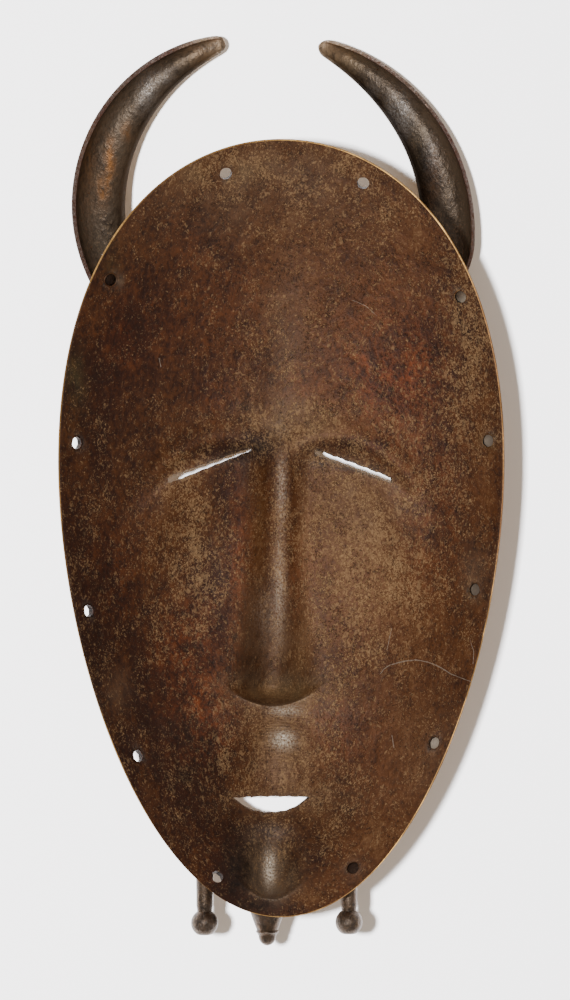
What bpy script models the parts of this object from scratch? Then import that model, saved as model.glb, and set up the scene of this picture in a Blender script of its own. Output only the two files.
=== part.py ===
# A horned bronze mask, one hollow lost-wax casting, lying face down with its inside up.
# The rim faces +Z, the horns point to +Y, and the casting rests on its nose and both horns.

import math

import bmesh
import bpy
import numpy as np

# Driving sizes of the face, in metres
FACE_LENGTH = 0.288      # rim, from the top of the forehead to the chin
FACE_WIDTH = 0.1655      # rim, cheek to cheek
FACE_DEPTH = 0.048       # from the rim plane to the tip of the nose
BOWL_DEPTH = 0.031       # plain hollow of the face behind the cheeks
WALL = 0.0025            # cast wall
RIM_EDGE = 0.0011        # width of the filed rim
REST_FLAT = 0.0006       # worn off the tip of the nose where the mask lies on it

# Outline of the face, as shares of its half length
EGG_TAPER = 0.166        # fuller forehead, narrower chin
EGG_FULLNESS = 0.052
MEDIAN_LEAN = 0.026      # the hand-made median line leans this much to one side

# Lacing holes: stations round the rim in degrees from the top, and distance in from the rim
LACING_DIAMETER = 0.005
LACING_LEFT = ((13.9, 0.0090), (48.9, 0.0069), (77.3, 0.0068),
               (102.7, 0.0055), (127.3, 0.0070), (158.0, 0.0055))
LACING_RIGHT = ((20.5, 0.0079), (52.3, 0.0061), (76.9, 0.0056),
                (99.6, 0.0062), (124.7, 0.0054), (155.1, 0.0060))

# Places on the face: across in shares of its half width, along in shares of its half length
BROW_PEAK = (0.245, 0.244)
BROW_DROP = 0.80         # how fast the brow falls away from its peak
BROW_SOFTNESS = 0.040
BROW_END = 0.72          # the brow dies out here
BRIDGE_WIDTH = 0.0150    # between the two eye sockets
SOCKET_REACH = (0.50, 0.14)
SOCKET_STEP = 0.075      # the step from the brow up into the eye socket
SOCKET_FADE = 0.14
EYE_INNER = (0.150, 0.201)
EYE_OUTER = (0.515, 0.123)
EYE_BOW = 0.0012
EYE_SLIT_START = {"left_eye": -0.06, "right_eye": 0.10}
EYE_SLIT_INNER = {"left_eye": 0.0012, "right_eye": 0.0018}  # height of the slit at the nose
EYE_SLIT_OUTER = {"left_eye": 0.0026, "right_eye": 0.0019}  # height of the slit at the temple
NOSE_ROOT = 0.215
NOSE_END = -0.466
NOSE_SPREAD_ROOT = 0.0052
NOSE_SPREAD_END = 0.0113
NOSE_SQUARENESS = 2.5
NOSE_FALL = 2.05         # how the nose deepens along its length
NOSE_START = 0.20        # share of the nose that rises out of the brow
NOSE_ARC = 0.0030        # how far the end of the nose curves round its tip
NOSE_END_ROUND = 0.0070  # the rounded end of the nose
NOSE_TIP_INSET = 0.0062  # from the end of the nose to its deepest point
MUZZLE_PLACE = -0.675
MUZZLE_SPREAD = (0.29, 0.155)
PHILTRUM_PLACE = -0.550
PHILTRUM_WIDTH = 0.0095
PHILTRUM_LENGTH = 0.085
MOUTH_TOP = -0.704
MOUTH_WIDTH = 0.0284
MOUTH_HEIGHT = 0.0057
CHIN_TOP = -0.765
CHIN_END = -0.965
CHIN_SPREAD = 0.0088
CHIN_TAPER = 0.30        # the hollow of the chin narrows downward
CHIN_SQUARENESS = 2.3
CHIN_ARC = 0.0042
CHIN_START_STEP = 0.0170
CHIN_END_ROUND = 0.0060
END_CURL = 2.0           # the ends of nose and chin curve round no further out than this
CHEEK_PLACE = (0.47, -0.20)
CHEEK_SPREAD = (0.30, 0.23)

# Relief of the hollow, in metres
BROW_GROOVE = 0.0012
SOCKET_RISE = 0.0036
CHEEK_SWELL = 0.0028
FOREHEAD_GROOVE = 0.0005
FOREHEAD_GROOVE_WIDTH = 0.0065
NOSE_ROOT_DEPTH = 0.0034
MUZZLE_DEPTH = 0.0125
PHILTRUM_DEPTH = 0.0024
CHIN_DEPTH = 0.0120

# Extra relief of the front
BROW_RIDGE = 0.0014
BROW_RIDGE_SOFTNESS = 0.030
EYELID_RELIEF = 0.0013
EYELID_REACH = (0.019, 0.0055)
LIP_RELIEF = 0.0022
LIP_REACH = (0.0176, 0.0068)
RING_SOFTNESS = 0.33
NOSTRIL_RELIEF = 0.0020
NOSTRIL_PLACE = (0.0140, 0.0105)   # from the median line, and from the end of the nose
NOSTRIL_SPREAD = (0.0042, 0.0062)

# Horns: each follows an arc, given by its centre, radius, and its angles at root and tip
# and the depth of its edges at the tip, below the rim plane
LEFT_HORN = {"centre": (-0.0018, 0.1212), "radius": 0.0656, "root": 246.0, "tip": 105.6, "tip_depth": 0.0386}
RIGHT_HORN = {"centre": (-0.0114, 0.1115), "radius": 0.0774, "root": -58.0, "tip": 68.6, "tip_depth": 0.0393}
HORN_WIDTH = 0.0202
HORN_ROOT_WIDTH = 0.0130
HORN_TIP_WIDTH = 0.0046
HORN_TAPER_ANGLE = 72.0  # the horn narrows over this much of its arc
HORN_TAPER_POWER = 0.74
HORN_WALL = 0.0020
HORN_EDGE = 0.0013       # thin edge beside the trough
HORN_TROUGH = 0.68       # depth of the trough as a share of its width
HORN_ROOT_DEPTH = 0.0115

# Two small legs and the beard below the chin
LEG_PLACES = (-0.0281, 0.0259)
LEG_DIAMETER = 0.0063
LEG_BALL = 0.0096
LEG_DEPTH = 0.0140
LEG_OVERHANG = 0.0076
BEARD_PLACE = -0.0045
BEARD_DEPTH = 0.0165
BEARD_WIDTH = 0.0165
BEARD_TIP = 0.0044
BEARD_OVERHANG = 0.0122

# Fineness of the faceted surface
ROWS = 47
COLUMNS = 33
HORN_STATIONS = 20
HORN_SIDES = 10
HOLE_SIDES = 8
ROUND_SIDES = 12
FACET_PREFERENCE = 0.00012   # each half's facets lean one way unless the surface asks otherwise

HALF_LENGTH = FACE_LENGTH / 2
OVERLAP = 0.002          # how far a cutter or a joined piece runs past what it meets


def egg_shape(s):
    return 1 - EGG_TAPER * s + EGG_FULLNESS * s * s


STATIONS = np.linspace(-1, 1, 2001)
HALF_WIDTH = FACE_WIDTH / 2 / float(np.max(egg_shape(STATIONS) * np.sqrt(1 - STATIONS ** 2)))


def half_width(y, inset=0.0):
    s = np.clip(-y / (HALF_LENGTH - inset), -1, 1)
    return (HALF_WIDTH * egg_shape(s) - inset) * np.sqrt(1 - s * s)


def egg_level(x, y, inset=0.0):
    # One at the middle of the face, nothing on its outline, less than nothing outside
    s = -y / (HALF_LENGTH - inset)
    return 1 - s * s - (x / (HALF_WIDTH * egg_shape(s) - inset)) ** 2


def median_line(y):
    return MEDIAN_LEAN * y


def smooth_step(value):
    t = np.clip(value, 0, 1)
    return t * t * (3 - 2 * t)


def bell(value):
    return np.exp(-value * value)


def bowl(x, y):
    q = egg_level(x, y, RIM_EDGE)
    return BOWL_DEPTH * q * (1.12 - 0.12 * q)


def across(x, y):
    return x - median_line(y)


def brow_line(side_distance):
    peak_x = BROW_PEAK[0] * HALF_WIDTH
    return (BROW_PEAK[1] - BROW_DROP * ((side_distance - peak_x) / HALF_WIDTH) ** 2) * HALF_LENGTH


def brow_window(side_distance):
    return smooth_step((BROW_END - side_distance / HALF_WIDTH) / (0.3 * BROW_END))


def brow_hollow(x, y):
    side = np.abs(across(x, y))
    below = (brow_line(side) - y) / HALF_LENGTH
    groove = BROW_GROOVE * bell(below / BROW_SOFTNESS) * brow_window(side)
    socket = smooth_step(below / SOCKET_STEP)
    socket *= bell(np.maximum(below - SOCKET_STEP, 0) / SOCKET_REACH[1])
    inner = smooth_step((side - BRIDGE_WIDTH / 4) / (BRIDGE_WIDTH * 0.65))
    outer = bell(np.maximum(side / HALF_WIDTH - SOCKET_REACH[0], 0) / SOCKET_FADE)
    return groove - SOCKET_RISE * socket * inner * outer


def end_wall(y, end, arc, reach, v):
    # The steep, rounded end wall of a hollow, which curls up at both sides
    level = (y - end * HALF_LENGTH - arc * np.minimum(v, END_CURL) ** 2) / reach
    return np.sqrt(1 - (1 - np.clip(level, 0, 1)) ** 2)


def nose_hollow(x, y):
    length = (NOSE_ROOT - NOSE_END) * HALF_LENGTH
    along = (NOSE_ROOT * HALF_LENGTH - y) / (length - NOSE_TIP_INSET)
    t = np.clip(along, 0, 1)
    v = np.abs(across(x, y)) / (NOSE_SPREAD_ROOT + (NOSE_SPREAD_END - NOSE_SPREAD_ROOT) * t)
    tip_y = NOSE_END * HALF_LENGTH + NOSE_TIP_INSET
    deepest = FACE_DEPTH + REST_FLAT - WALL - bowl(0.0, tip_y) - cheek_swell(0.0, tip_y)
    depth = NOSE_ROOT_DEPTH + (deepest - NOSE_ROOT_DEPTH) * t ** NOSE_FALL
    end = end_wall(y, NOSE_END, NOSE_ARC, NOSE_END_ROUND, v)
    start = smooth_step((along + 0.4 * NOSE_START) / NOSE_START)
    return depth * np.exp(-v ** NOSE_SQUARENESS) * end * start


def cheek_swell(x, y):
    side = np.abs(across(x, y))
    level = (side / HALF_WIDTH - CHEEK_PLACE[0]) / CHEEK_SPREAD[0]
    return CHEEK_SWELL * bell(level) * bell((y / HALF_LENGTH - CHEEK_PLACE[1]) / CHEEK_SPREAD[1])


def muzzle(x, y):
    side = across(x, y) / HALF_WIDTH / MUZZLE_SPREAD[0]
    level = (y / HALF_LENGTH - MUZZLE_PLACE) / MUZZLE_SPREAD[1]
    philtrum = bell(across(x, y) / PHILTRUM_WIDTH)
    philtrum *= bell((y / HALF_LENGTH - PHILTRUM_PLACE) / PHILTRUM_LENGTH)
    return MUZZLE_DEPTH * bell(side) * bell(level) + PHILTRUM_DEPTH * philtrum


def chin_hollow(x, y):
    down = np.clip((CHIN_TOP - y / HALF_LENGTH) / (CHIN_TOP - CHIN_END), 0, 1)
    v = np.abs(across(x, y)) / (CHIN_SPREAD * (1 - CHIN_TAPER * down))
    end = end_wall(y, CHIN_END, CHIN_ARC, CHIN_END_ROUND, v)
    start = smooth_step((CHIN_TOP * HALF_LENGTH - y) / CHIN_START_STEP)
    return CHIN_DEPTH * np.exp(-v ** CHIN_SQUARENESS) * end * start


def forehead_groove(x, y):
    level = y / HALF_LENGTH
    window = smooth_step((level - NOSE_ROOT) / 0.15) * smooth_step((0.93 - level) / 0.20)
    return FOREHEAD_GROOVE * bell(across(x, y) / FOREHEAD_GROOVE_WIDTH) * window


def hollow_depth(x, y):
    # Depth of the inside of the mask below the rim plane
    depth = bowl(x, y) + cheek_swell(x, y) + brow_hollow(x, y)
    depth = depth + nose_hollow(x, y) + muzzle(x, y) + chin_hollow(x, y)
    return depth + forehead_groove(x, y)


def ring_round(x, y, centre, slope, reach):
    # A raised ring round an almond shape
    dx = x - centre[0]
    dy = y - centre[1] - slope * dx
    level = np.sqrt((dx / reach[0]) ** 2 + (dy / reach[1]) ** 2)
    return bell((level - 1) / RING_SOFTNESS)


def front_relief(x, y):
    side = np.abs(across(x, y))
    brow = BROW_RIDGE * bell((brow_line(side) - y) / HALF_LENGTH / BROW_RIDGE_SOFTNESS) * brow_window(side)
    eye_x = (EYE_INNER[0] + EYE_OUTER[0]) / 2 * HALF_WIDTH
    eye_y = (EYE_INNER[1] + EYE_OUTER[1]) / 2 * HALF_LENGTH
    slope = (EYE_OUTER[1] - EYE_INNER[1]) * HALF_LENGTH / ((EYE_OUTER[0] - EYE_INNER[0]) * HALF_WIDTH)
    lids = EYELID_RELIEF * ring_round(side, y, (eye_x, eye_y), slope, EYELID_REACH)
    mouth_y = MOUTH_TOP * HALF_LENGTH - MOUTH_HEIGHT / 2
    lips = LIP_RELIEF * ring_round(across(x, y), y, (0, mouth_y), 0, LIP_REACH)
    wing_y = NOSE_END * HALF_LENGTH + NOSTRIL_PLACE[1]
    wings = NOSTRIL_RELIEF * bell((side - NOSTRIL_PLACE[0]) / NOSTRIL_SPREAD[0])
    wings *= bell((y - wing_y) / NOSTRIL_SPREAD[1])
    return brow + lids + lips + wings


def front_depth(x, y):
    # The front stands one wall away from the hollow in every direction, plus its own relief
    depth = hollow_depth(x, y) + WALL
    for ring in (0.35, 0.6, 0.8, 0.93):
        lift = WALL * math.sqrt(1 - ring * ring)
        for step in range(12):
            angle = step * math.tau / 12
            shifted = hollow_depth(x + ring * WALL * math.cos(angle), y + ring * WALL * math.sin(angle))
            depth = np.maximum(depth, shifted + lift)
    return np.minimum(depth + front_relief(x, y), FACE_DEPTH)


def bunched(start, end, count, density):
    # Positions between start and end that lie closer where the density is higher
    fine = np.linspace(start, end, 1601)
    weight = density(fine)
    total = np.concatenate(([0], np.cumsum((weight[1:] + weight[:-1]) / 2)))
    return np.interp(np.linspace(0, total[-1], count), total, fine)


def row_density(angle):
    y = np.cos(angle)
    eyes = 2.2 * bell((y - 0.20) / 0.09)
    nose_end = 3.2 * bell((y - NOSE_END - 0.02) / 0.055)
    mouth = 1.2 * bell((y - MOUTH_TOP) / 0.09)
    chin = 1.0 * bell((y - CHIN_END - 0.05) / 0.07)
    return 1 + eyes + nose_end + mouth + chin


def column_density(u):
    return 1 + 1.6 * bell(u / 0.20) + 0.5 * bell((np.abs(u) - 1) / 0.10)


def row_bend(x, y):
    # Rows of facets follow the brow, the end of the nose and the end of the chin
    side = np.abs(x)
    brow_top = BROW_PEAK[1] * HALF_LENGTH
    brow = brow_line(np.minimum(side, 0.62 * HALF_WIDTH)) - brow_top
    bend = brow * bell((y - brow_top) / (0.22 * HALF_LENGTH))
    ends = ((NOSE_END, NOSE_ARC, NOSE_SPREAD_END), (CHIN_END, CHIN_ARC, CHIN_SPREAD * (1 - CHIN_TAPER)))
    for end, arc, spread in ends:
        v = np.minimum(side / spread, END_CURL)
        bend = bend + arc * v * v * bell((y - end * HALF_LENGTH) / (0.08 * HALF_LENGTH))
    return bend


def field_grid(inset):
    angles = bunched(0, math.pi, ROWS, row_density)
    columns = bunched(-1, 1, COLUMNS, column_density)
    y = np.cos(angles)[:, None] * (HALF_LENGTH - inset) + 0 * columns[None, :]
    inner = (1 - columns[None, :] ** 4) * np.sin(angles)[:, None] ** 2
    y = y + row_bend(columns[None, :] * half_width(y, inset), y) * inner
    lean = median_line(y) * inner
    return columns[None, :] * half_width(y, inset) + lean, y


def field_solid(name, inset, depth_of, lid):
    # A closed solid between a depth field over the egg outline and a flat lid
    x, y = field_grid(inset)
    depth = depth_of(x, y)
    mesh = bmesh.new()
    grid = []
    for row in range(ROWS):
        at_pole = row in (0, ROWS - 1)
        if at_pole:
            point = mesh.verts.new((0, y[row, 0], -depth[row, 0]))
            grid.append([point] * COLUMNS)
            continue
        grid.append([mesh.verts.new((x[row, column], y[row, column], -depth[row, column]))
                     for column in range(COLUMNS)])
    centre_depth = depth_of((x[:-1, :-1] + x[1:, 1:] + x[1:, :-1] + x[:-1, 1:]) / 4,
                            (y[:-1, :-1] + y[1:, 1:] + y[1:, :-1] + y[:-1, 1:]) / 4)
    falling = np.abs((depth[:-1, :-1] + depth[1:, 1:]) / 2 - centre_depth)
    rising = np.abs((depth[1:, :-1] + depth[:-1, 1:]) / 2 - centre_depth)
    for row in range(ROWS - 1):
        for column in range(COLUMNS - 1):
            first, second = grid[row][column], grid[row + 1][column]
            third, fourth = grid[row + 1][column + 1], grid[row][column + 1]
            favoured = FACET_PREFERENCE if column < (COLUMNS - 1) // 2 else -FACET_PREFERENCE
            if falling[row, column] < rising[row, column] + favoured:
                facets = ((first, second, third), (first, third, fourth))
            else:
                facets = ((first, second, fourth), (second, third, fourth))
            for facet in facets:
                if len(set(facet)) == 3:
                    mesh.faces.new(facet)
    edge = [grid[row][0] for row in range(ROWS)]
    edge += [grid[row][-1] for row in range(ROWS - 2, 0, -1)]
    top = [mesh.verts.new((vert.co.x, vert.co.y, lid)) for vert in edge]
    for index, vert in enumerate(edge):
        after = (index + 1) % len(edge)
        mesh.faces.new((vert, edge[after], top[after], top[index]))
    mesh.faces.new(top)
    return finished(name, mesh)


def finished(name, mesh):
    bmesh.ops.recalc_face_normals(mesh, faces=mesh.faces)
    data = bpy.data.meshes.new(name)
    mesh.to_mesh(data)
    mesh.free()
    piece = bpy.data.objects.new(name, data)
    bpy.context.scene.collection.objects.link(piece)
    return piece


def loft(name, sections):
    # Closed solid through a row of sections with the same number of points
    mesh = bmesh.new()
    rings = [[mesh.verts.new(point) for point in section] for section in sections]
    for ring, following in zip(rings, rings[1:]):
        for index in range(len(ring)):
            after = (index + 1) % len(ring)
            mesh.faces.new((ring[index], ring[after], following[after], following[index]))
    mesh.faces.new(rings[0])
    mesh.faces.new(rings[-1])
    return finished(name, mesh)


def horn_width(from_tip, arc):
    if from_tip < HORN_TAPER_ANGLE:
        rise = math.sin(math.pi / 2 * from_tip / HORN_TAPER_ANGLE) ** HORN_TAPER_POWER
        return HORN_TIP_WIDTH + (HORN_WIDTH - HORN_TIP_WIDTH) * rise
    fall = float(smooth_step((from_tip - HORN_TAPER_ANGLE) / (arc - HORN_TAPER_ANGLE)))
    return HORN_WIDTH + (HORN_ROOT_WIDTH - HORN_WIDTH) * fall


def horn_section(horn, share):
    arc = abs(horn["tip"] - horn["root"])
    angle = math.radians(horn["root"] + (horn["tip"] - horn["root"]) * share)
    width = horn_width(arc * (1 - share), arc)
    edge_depth = HORN_ROOT_DEPTH + (horn["tip_depth"] - HORN_ROOT_DEPTH) * (1 - (1 - share) ** 2)
    trough_half = width / 2 - HORN_EDGE
    trough_depth = 2 * trough_half * HORN_TROUGH
    points = []
    for index in range(HORN_SIDES + 1):
        turn = math.pi * index / HORN_SIDES
        points.append((-math.cos(turn) * width / 2, (trough_depth + HORN_WALL) * math.sin(turn)))
    for index in range(HORN_SIDES - 2, 0, -1):
        turn = math.pi * (index + 0.5) / (HORN_SIDES - 1)
        points.append((-math.cos(turn) * trough_half, trough_depth * math.sin(turn)))
    section = []
    for offset, drop in points:
        reach = horn["radius"] + offset
        x = horn["centre"][0] + reach * math.cos(angle)
        y = horn["centre"][1] + reach * math.sin(angle)
        section.append((x, y, -min(edge_depth + drop, FACE_DEPTH)))
    return section


def horn_solid(name, horn):
    shares = [index / (HORN_STATIONS - 1) for index in range(HORN_STATIONS)]
    return loft(name, [horn_section(horn, share) for share in shares])


def turned(name, centre_x, depth, profile):
    # A round piece along Y from pairs of place and radius
    sections = []
    for y, radius in profile:
        section = []
        for step in range(ROUND_SIDES):
            angle = step * math.tau / ROUND_SIDES
            section.append((centre_x + radius * math.cos(angle), y, -depth + radius * math.sin(angle)))
        sections.append(section)
    return loft(name, sections)


def leg_solid(name, place):
    end = -HALF_LENGTH - LEG_OVERHANG
    ball = LEG_BALL / 2
    centre = end + ball * 0.92
    profile = [(-0.70 * HALF_LENGTH, LEG_DIAMETER / 2)]
    first = math.asin(LEG_DIAMETER / LEG_BALL)
    last = math.pi - math.acos(0.92)
    for step in range(7):
        turn = first + (last - first) * step / 6
        profile.append((centre + ball * math.cos(turn), ball * math.sin(turn)))
    return turned(name, place, LEG_DEPTH, profile)


def beard_solid(name):
    tip = -HALF_LENGTH - BEARD_OVERHANG
    root = CHIN_END * HALF_LENGTH + 0.012
    root_radius = BEARD_WIDTH / 2
    tip_radius = BEARD_TIP / 2
    step_y = tip + 0.0022
    profile = []
    for step in range(6):
        share = step / 5
        y = root + (step_y + 0.001 - root) * share
        profile.append((y, root_radius + (tip_radius - root_radius) * share ** 1.25))
    profile += [(step_y + 0.0003, tip_radius + 0.0005), (step_y - 0.0007, tip_radius + 0.0005)]
    profile += [(step_y - 0.0011, tip_radius), (tip, tip_radius * 0.8)]
    return turned(name, BEARD_PLACE, BEARD_DEPTH, profile)


def prism(name, outline, bottom, top):
    sections = [[(x, y, level) for x, y in outline] for level in (bottom, top)]
    return loft(name, sections)


def eye_cutter(name, side):
    inner_x = side * EYE_INNER[0] * HALF_WIDTH
    outer_x = side * EYE_OUTER[0] * HALF_WIDTH
    upper = []
    lower = []
    for step in range(9):
        share = EYE_SLIT_START[name] + (1 - EYE_SLIT_START[name]) * step / 8
        level = EYE_INNER[1] + (EYE_OUTER[1] - EYE_INNER[1]) * share
        y = level * HALF_LENGTH + EYE_BOW * 4 * share * (1 - share)
        x = inner_x + (outer_x - inner_x) * share + median_line(y)
        height = EYE_SLIT_INNER[name] + (EYE_SLIT_OUTER[name] - EYE_SLIT_INNER[name]) * share
        height *= 0.7 if step in (0, 8) else 1.0
        upper.append((x, y + height / 2))
        lower.append((x, y - height / 2))
    return prism(name, upper + lower[::-1], -FACE_DEPTH, 0.0)


def mouth_cutter(name):
    top = MOUTH_TOP * HALF_LENGTH
    middle = median_line(top)
    outline = [(middle - MOUTH_WIDTH / 2, top), (middle + MOUTH_WIDTH / 2, top)]
    for step in range(1, 10):
        share = 1 - 2 * step / 10
        drop = MOUTH_HEIGHT * (1 - abs(share) ** 2.4)
        outline.append((middle + share * MOUTH_WIDTH / 2, top - drop))
    return prism(name, outline, -FACE_DEPTH, 0.0)


def rim_point(station, side, inset):
    # A point on the inside of the wall, this far in from the rim line
    angle = math.radians(station)
    y = math.cos(angle) * HALF_LENGTH
    x = side * float(half_width(y))
    step = 0.0005
    slope_x = float(egg_level(x + step, y) - egg_level(x - step, y))
    slope_y = float(egg_level(x, y + step) - egg_level(x, y - step))
    size = math.hypot(slope_x, slope_y)
    return x + inset * slope_x / size, y + inset * slope_y / size


def hole_cutter(name, station, side, inset):
    x, y = rim_point(station, side, inset)
    step = 0.001
    slope_x = float(hollow_depth(x + step, y) - hollow_depth(x - step, y)) / (2 * step)
    slope_y = float(hollow_depth(x, y + step) - hollow_depth(x, y - step)) / (2 * step)
    normal = np.array((slope_x, slope_y, 1.0))
    normal /= np.linalg.norm(normal)
    sideways = np.cross(normal, (0.0, 1.0, 0.0))
    sideways /= np.linalg.norm(sideways)
    upward = np.cross(sideways, normal)
    centre = np.array((x, y, -float(hollow_depth(x, y)))) - normal * WALL / 2
    radius = LACING_DIAMETER / 2
    sections = []
    for end in (-1, 1):
        base = centre + normal * end * (WALL / 2 + OVERLAP)
        section = []
        for index in range(HOLE_SIDES):
            angle = index * math.tau / HOLE_SIDES
            section.append(base + radius * (math.cos(angle) * sideways + math.sin(angle) * upward))
        sections.append(section)
    return loft(name, sections)


def bronze():
    material = bpy.data.materials.new("patinated_bronze")
    material.use_nodes = True
    shader = material.node_tree.nodes["Principled BSDF"]
    shader.inputs["Base Color"].default_value = (0.105, 0.052, 0.026, 1)
    shader.inputs["Metallic"].default_value = 0.75
    shader.inputs["Roughness"].default_value = 0.55
    return material


def as_guide(piece):
    piece.hide_render = True
    piece.display_type = "WIRE"


def boolean(target, pieces, operation):
    collection = bpy.data.collections.new(pieces[0].name + "_set")
    for piece in pieces:
        as_guide(piece)
        collection.objects.link(piece)
    modifier = target.modifiers.new(operation.lower() + "_" + pieces[0].name, "BOOLEAN")
    modifier.operation = operation
    modifier.operand_type = "COLLECTION"
    modifier.collection = collection
    modifier.solver = "EXACT"


def build():
    for leftover in list(bpy.data.objects):
        bpy.data.objects.remove(leftover)
    mask = field_solid("mask", 0.0, front_depth, 0.0)
    hollow = field_solid("hollow", RIM_EDGE - 0.0005, hollow_depth, OVERLAP)
    added = [horn_solid("left_horn", LEFT_HORN), horn_solid("right_horn", RIGHT_HORN)]
    for side, place in zip(("left", "right"), LEG_PLACES):
        added.append(leg_solid(side + "_leg", place))
    added.append(beard_solid("beard"))
    cutters = [eye_cutter("left_eye", -1), eye_cutter("right_eye", 1), mouth_cutter("mouth")]
    for side, name, holes in ((-1, "left", LACING_LEFT), (1, "right", LACING_RIGHT)):
        for index, (station, inset) in enumerate(holes, 1):
            cutters.append(hole_cutter(f"lacing_{name}_{index}", station, side, inset))
    boolean(mask, added, "UNION")
    boolean(mask, [hollow], "DIFFERENCE")
    boolean(mask, cutters, "DIFFERENCE")
    mask.data.materials.append(bronze())
    top = max((corner[1] for horn in (LEFT_HORN, RIGHT_HORN) for corner in horn_corners(horn)))
    bottom = -HALF_LENGTH - BEARD_OVERHANG
    for piece in bpy.data.objects:
        piece.location = (0, -(top + bottom) / 2, FACE_DEPTH)


def horn_corners(horn):
    for index in range(HORN_STATIONS):
        yield from horn_section(horn, index / (HORN_STATIONS - 1))


build()
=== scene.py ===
# A horned bronze mask, one hollow casting, lying face down and seen from above into its hollow back.
# All sizes are in metres. The face is modelled about its own middle, with the filed rim at height 0,
# and then moved to the place that the frame gives.
import math

import bmesh
import bpy
import numpy as np
from mathutils import Matrix, Vector


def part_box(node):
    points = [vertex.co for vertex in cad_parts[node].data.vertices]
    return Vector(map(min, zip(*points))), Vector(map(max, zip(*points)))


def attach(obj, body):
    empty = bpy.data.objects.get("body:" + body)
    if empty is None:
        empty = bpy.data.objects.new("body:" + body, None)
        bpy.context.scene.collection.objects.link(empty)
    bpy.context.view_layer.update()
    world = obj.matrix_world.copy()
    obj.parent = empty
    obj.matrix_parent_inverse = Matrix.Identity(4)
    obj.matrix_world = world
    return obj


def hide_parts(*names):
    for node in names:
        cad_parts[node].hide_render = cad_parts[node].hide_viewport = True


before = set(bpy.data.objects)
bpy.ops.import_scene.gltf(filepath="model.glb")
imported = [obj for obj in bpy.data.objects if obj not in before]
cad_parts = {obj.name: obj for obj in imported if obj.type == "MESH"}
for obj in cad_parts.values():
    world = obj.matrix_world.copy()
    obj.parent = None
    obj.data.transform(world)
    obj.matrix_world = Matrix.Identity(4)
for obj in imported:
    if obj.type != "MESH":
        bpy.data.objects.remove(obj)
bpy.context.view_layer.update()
maskLow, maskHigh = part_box("mask")
print("frame loaded")

face = {
    "width": maskHigh[0] - maskLow[0],
    "length": 0.288,
    "depth": maskHigh[2] - maskLow[2],   # rim to the tip of the nose
    "bowl": 0.031,
    "bowlRound": 0.12,
    "wall": 0.0025,
    "rimWidth": 0.0006,
    "rimSlope": 0.97,                    # what counts as the filed rim: its upward share and its depth
    "rimDepth": 0.00005,
    "lidOverlap": 0.0005,                # the cutter of the hollow is this much wider at the rim
    "restFlat": 0.0006,
    "taper": 0.166,                      # fuller forehead, narrower chin
    "fullness": 0.052,
    "lean": 0.026,                       # the hand-made median line leans
    "rows": 246,
    "columns": 138,
    "wallRings": (0.35, 0.6, 0.8, 0.93),   # the front is measured on these rings, in wall thicknesses
    "wallSteps": 12,
}
halfLength = face["length"] / 2

# Places are shares of the half width across and of the half length along, relief is in metres
brow = {"peak": (0.245, 0.244), "drop": 0.80, "softness": 0.040, "end": 0.72, "groove": 0.0012,
        "socketStep": 0.075, "socketReach": (0.50, 0.14), "socketFade": 0.14, "socketRise": 0.0036,
        "ridge": 0.0014, "bridge": 0.0150}
eyes = {"inner": (0.150, 0.201), "outer": (0.515, 0.123), "bow": 0.0001,
        "slits": {-1: (-0.06, 0.0011, 0.0025), 1: (0.04, 0.0021, 0.0022)},   # start, inner and outer height
        "lid": 0.0013, "lidReach": (0.019, 0.0055),
        "ragged": {-1: ((0.00016, 37, -1), (0.00010, 83, 0)), 1: ((0.00016, 37, 1), (0.00010, 83, 0))}}
nose = {"root": 0.215, "end": -0.466, "rootSpread": 0.0052, "endSpread": 0.0113, "squareness": 2.5,
        "fall": 2.05, "start": 0.20, "arc": 0.0030, "endRound": 0.0070, "tipInset": 0.0062,
        "rootDepth": 0.0034, "wing": 0.0020, "wingAcross": (0.0140, 0.0042), "wingAlong": (0.0105, 0.0062)}
muzzle = {"width": 0.29, "along": (-0.675, 0.155), "depth": 0.0125, "philtrumWidth": 0.0095,
          "philtrumAlong": (-0.550, 0.085), "philtrumDepth": 0.0024}
mouth = {"top": -0.704, "width": 0.0284, "height": 0.0057, "droop": 2.4, "lip": 0.0022,
         "lipReach": (0.0176, 0.0068), "raggedTop": ((0.00016, 17, 0), (0.00010, 41, 1)),
         "raggedBottom": ((0.00012, 23, 2),)}
chin = {"top": -0.765, "end": -0.955, "spread": 0.0086, "taper": 0.14, "squareness": 2.6, "arc": 0.0026,
        "startStep": 0.0170, "endRound": 0.0060, "depth": 0.0120}
cheeks = {"across": (0.47, 0.30), "along": (-0.20, 0.23), "swell": 0.0028}   # place and spread
forehead = {"groove": 0.0005, "grooveWidth": 0.0065, "start": 0.15, "top": (0.93, 0.20)}


def eggShape(s):
    return 1 - face["taper"] * s + face["fullness"] * s * s


stations = np.linspace(-1, 1, 2001)
halfWidth = face["width"] / 2 / float(np.max(eggShape(stations) * np.sqrt(1 - stations ** 2)))


def smoothStep(value):
    t = np.clip(value, 0, 1)
    return t * t * (3 - 2 * t)


def bell(value):
    return np.exp(-value * value)


def hump(value, middle, reach):
    return bell((value - middle) / reach)


def riseFrom(value, start, over):
    return smoothStep((value - start) / over)


def fallTo(value, end, over):
    return smoothStep((end - value) / over)


def ragged(share, waves):   # the uneven edge of a hand-made cut: height, speed and start of each wave
    return sum(height * math.sin(share * speed + start) for height, speed, start in waves)


def endWall(y, end, arc, reach, v):   # the steep, rounded end of a hollow, which curls up at both sides
    level = (y - end * halfLength - arc * np.minimum(v, 2) ** 2) / reach
    return np.sqrt(1 - (1 - np.clip(level, 0, 1)) ** 2)


def halfWidthAt(y, inset=0.0):
    s = np.clip(-y / (halfLength - inset), -1, 1)
    return (halfWidth * eggShape(s) - inset) * np.sqrt(1 - s * s)


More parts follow.
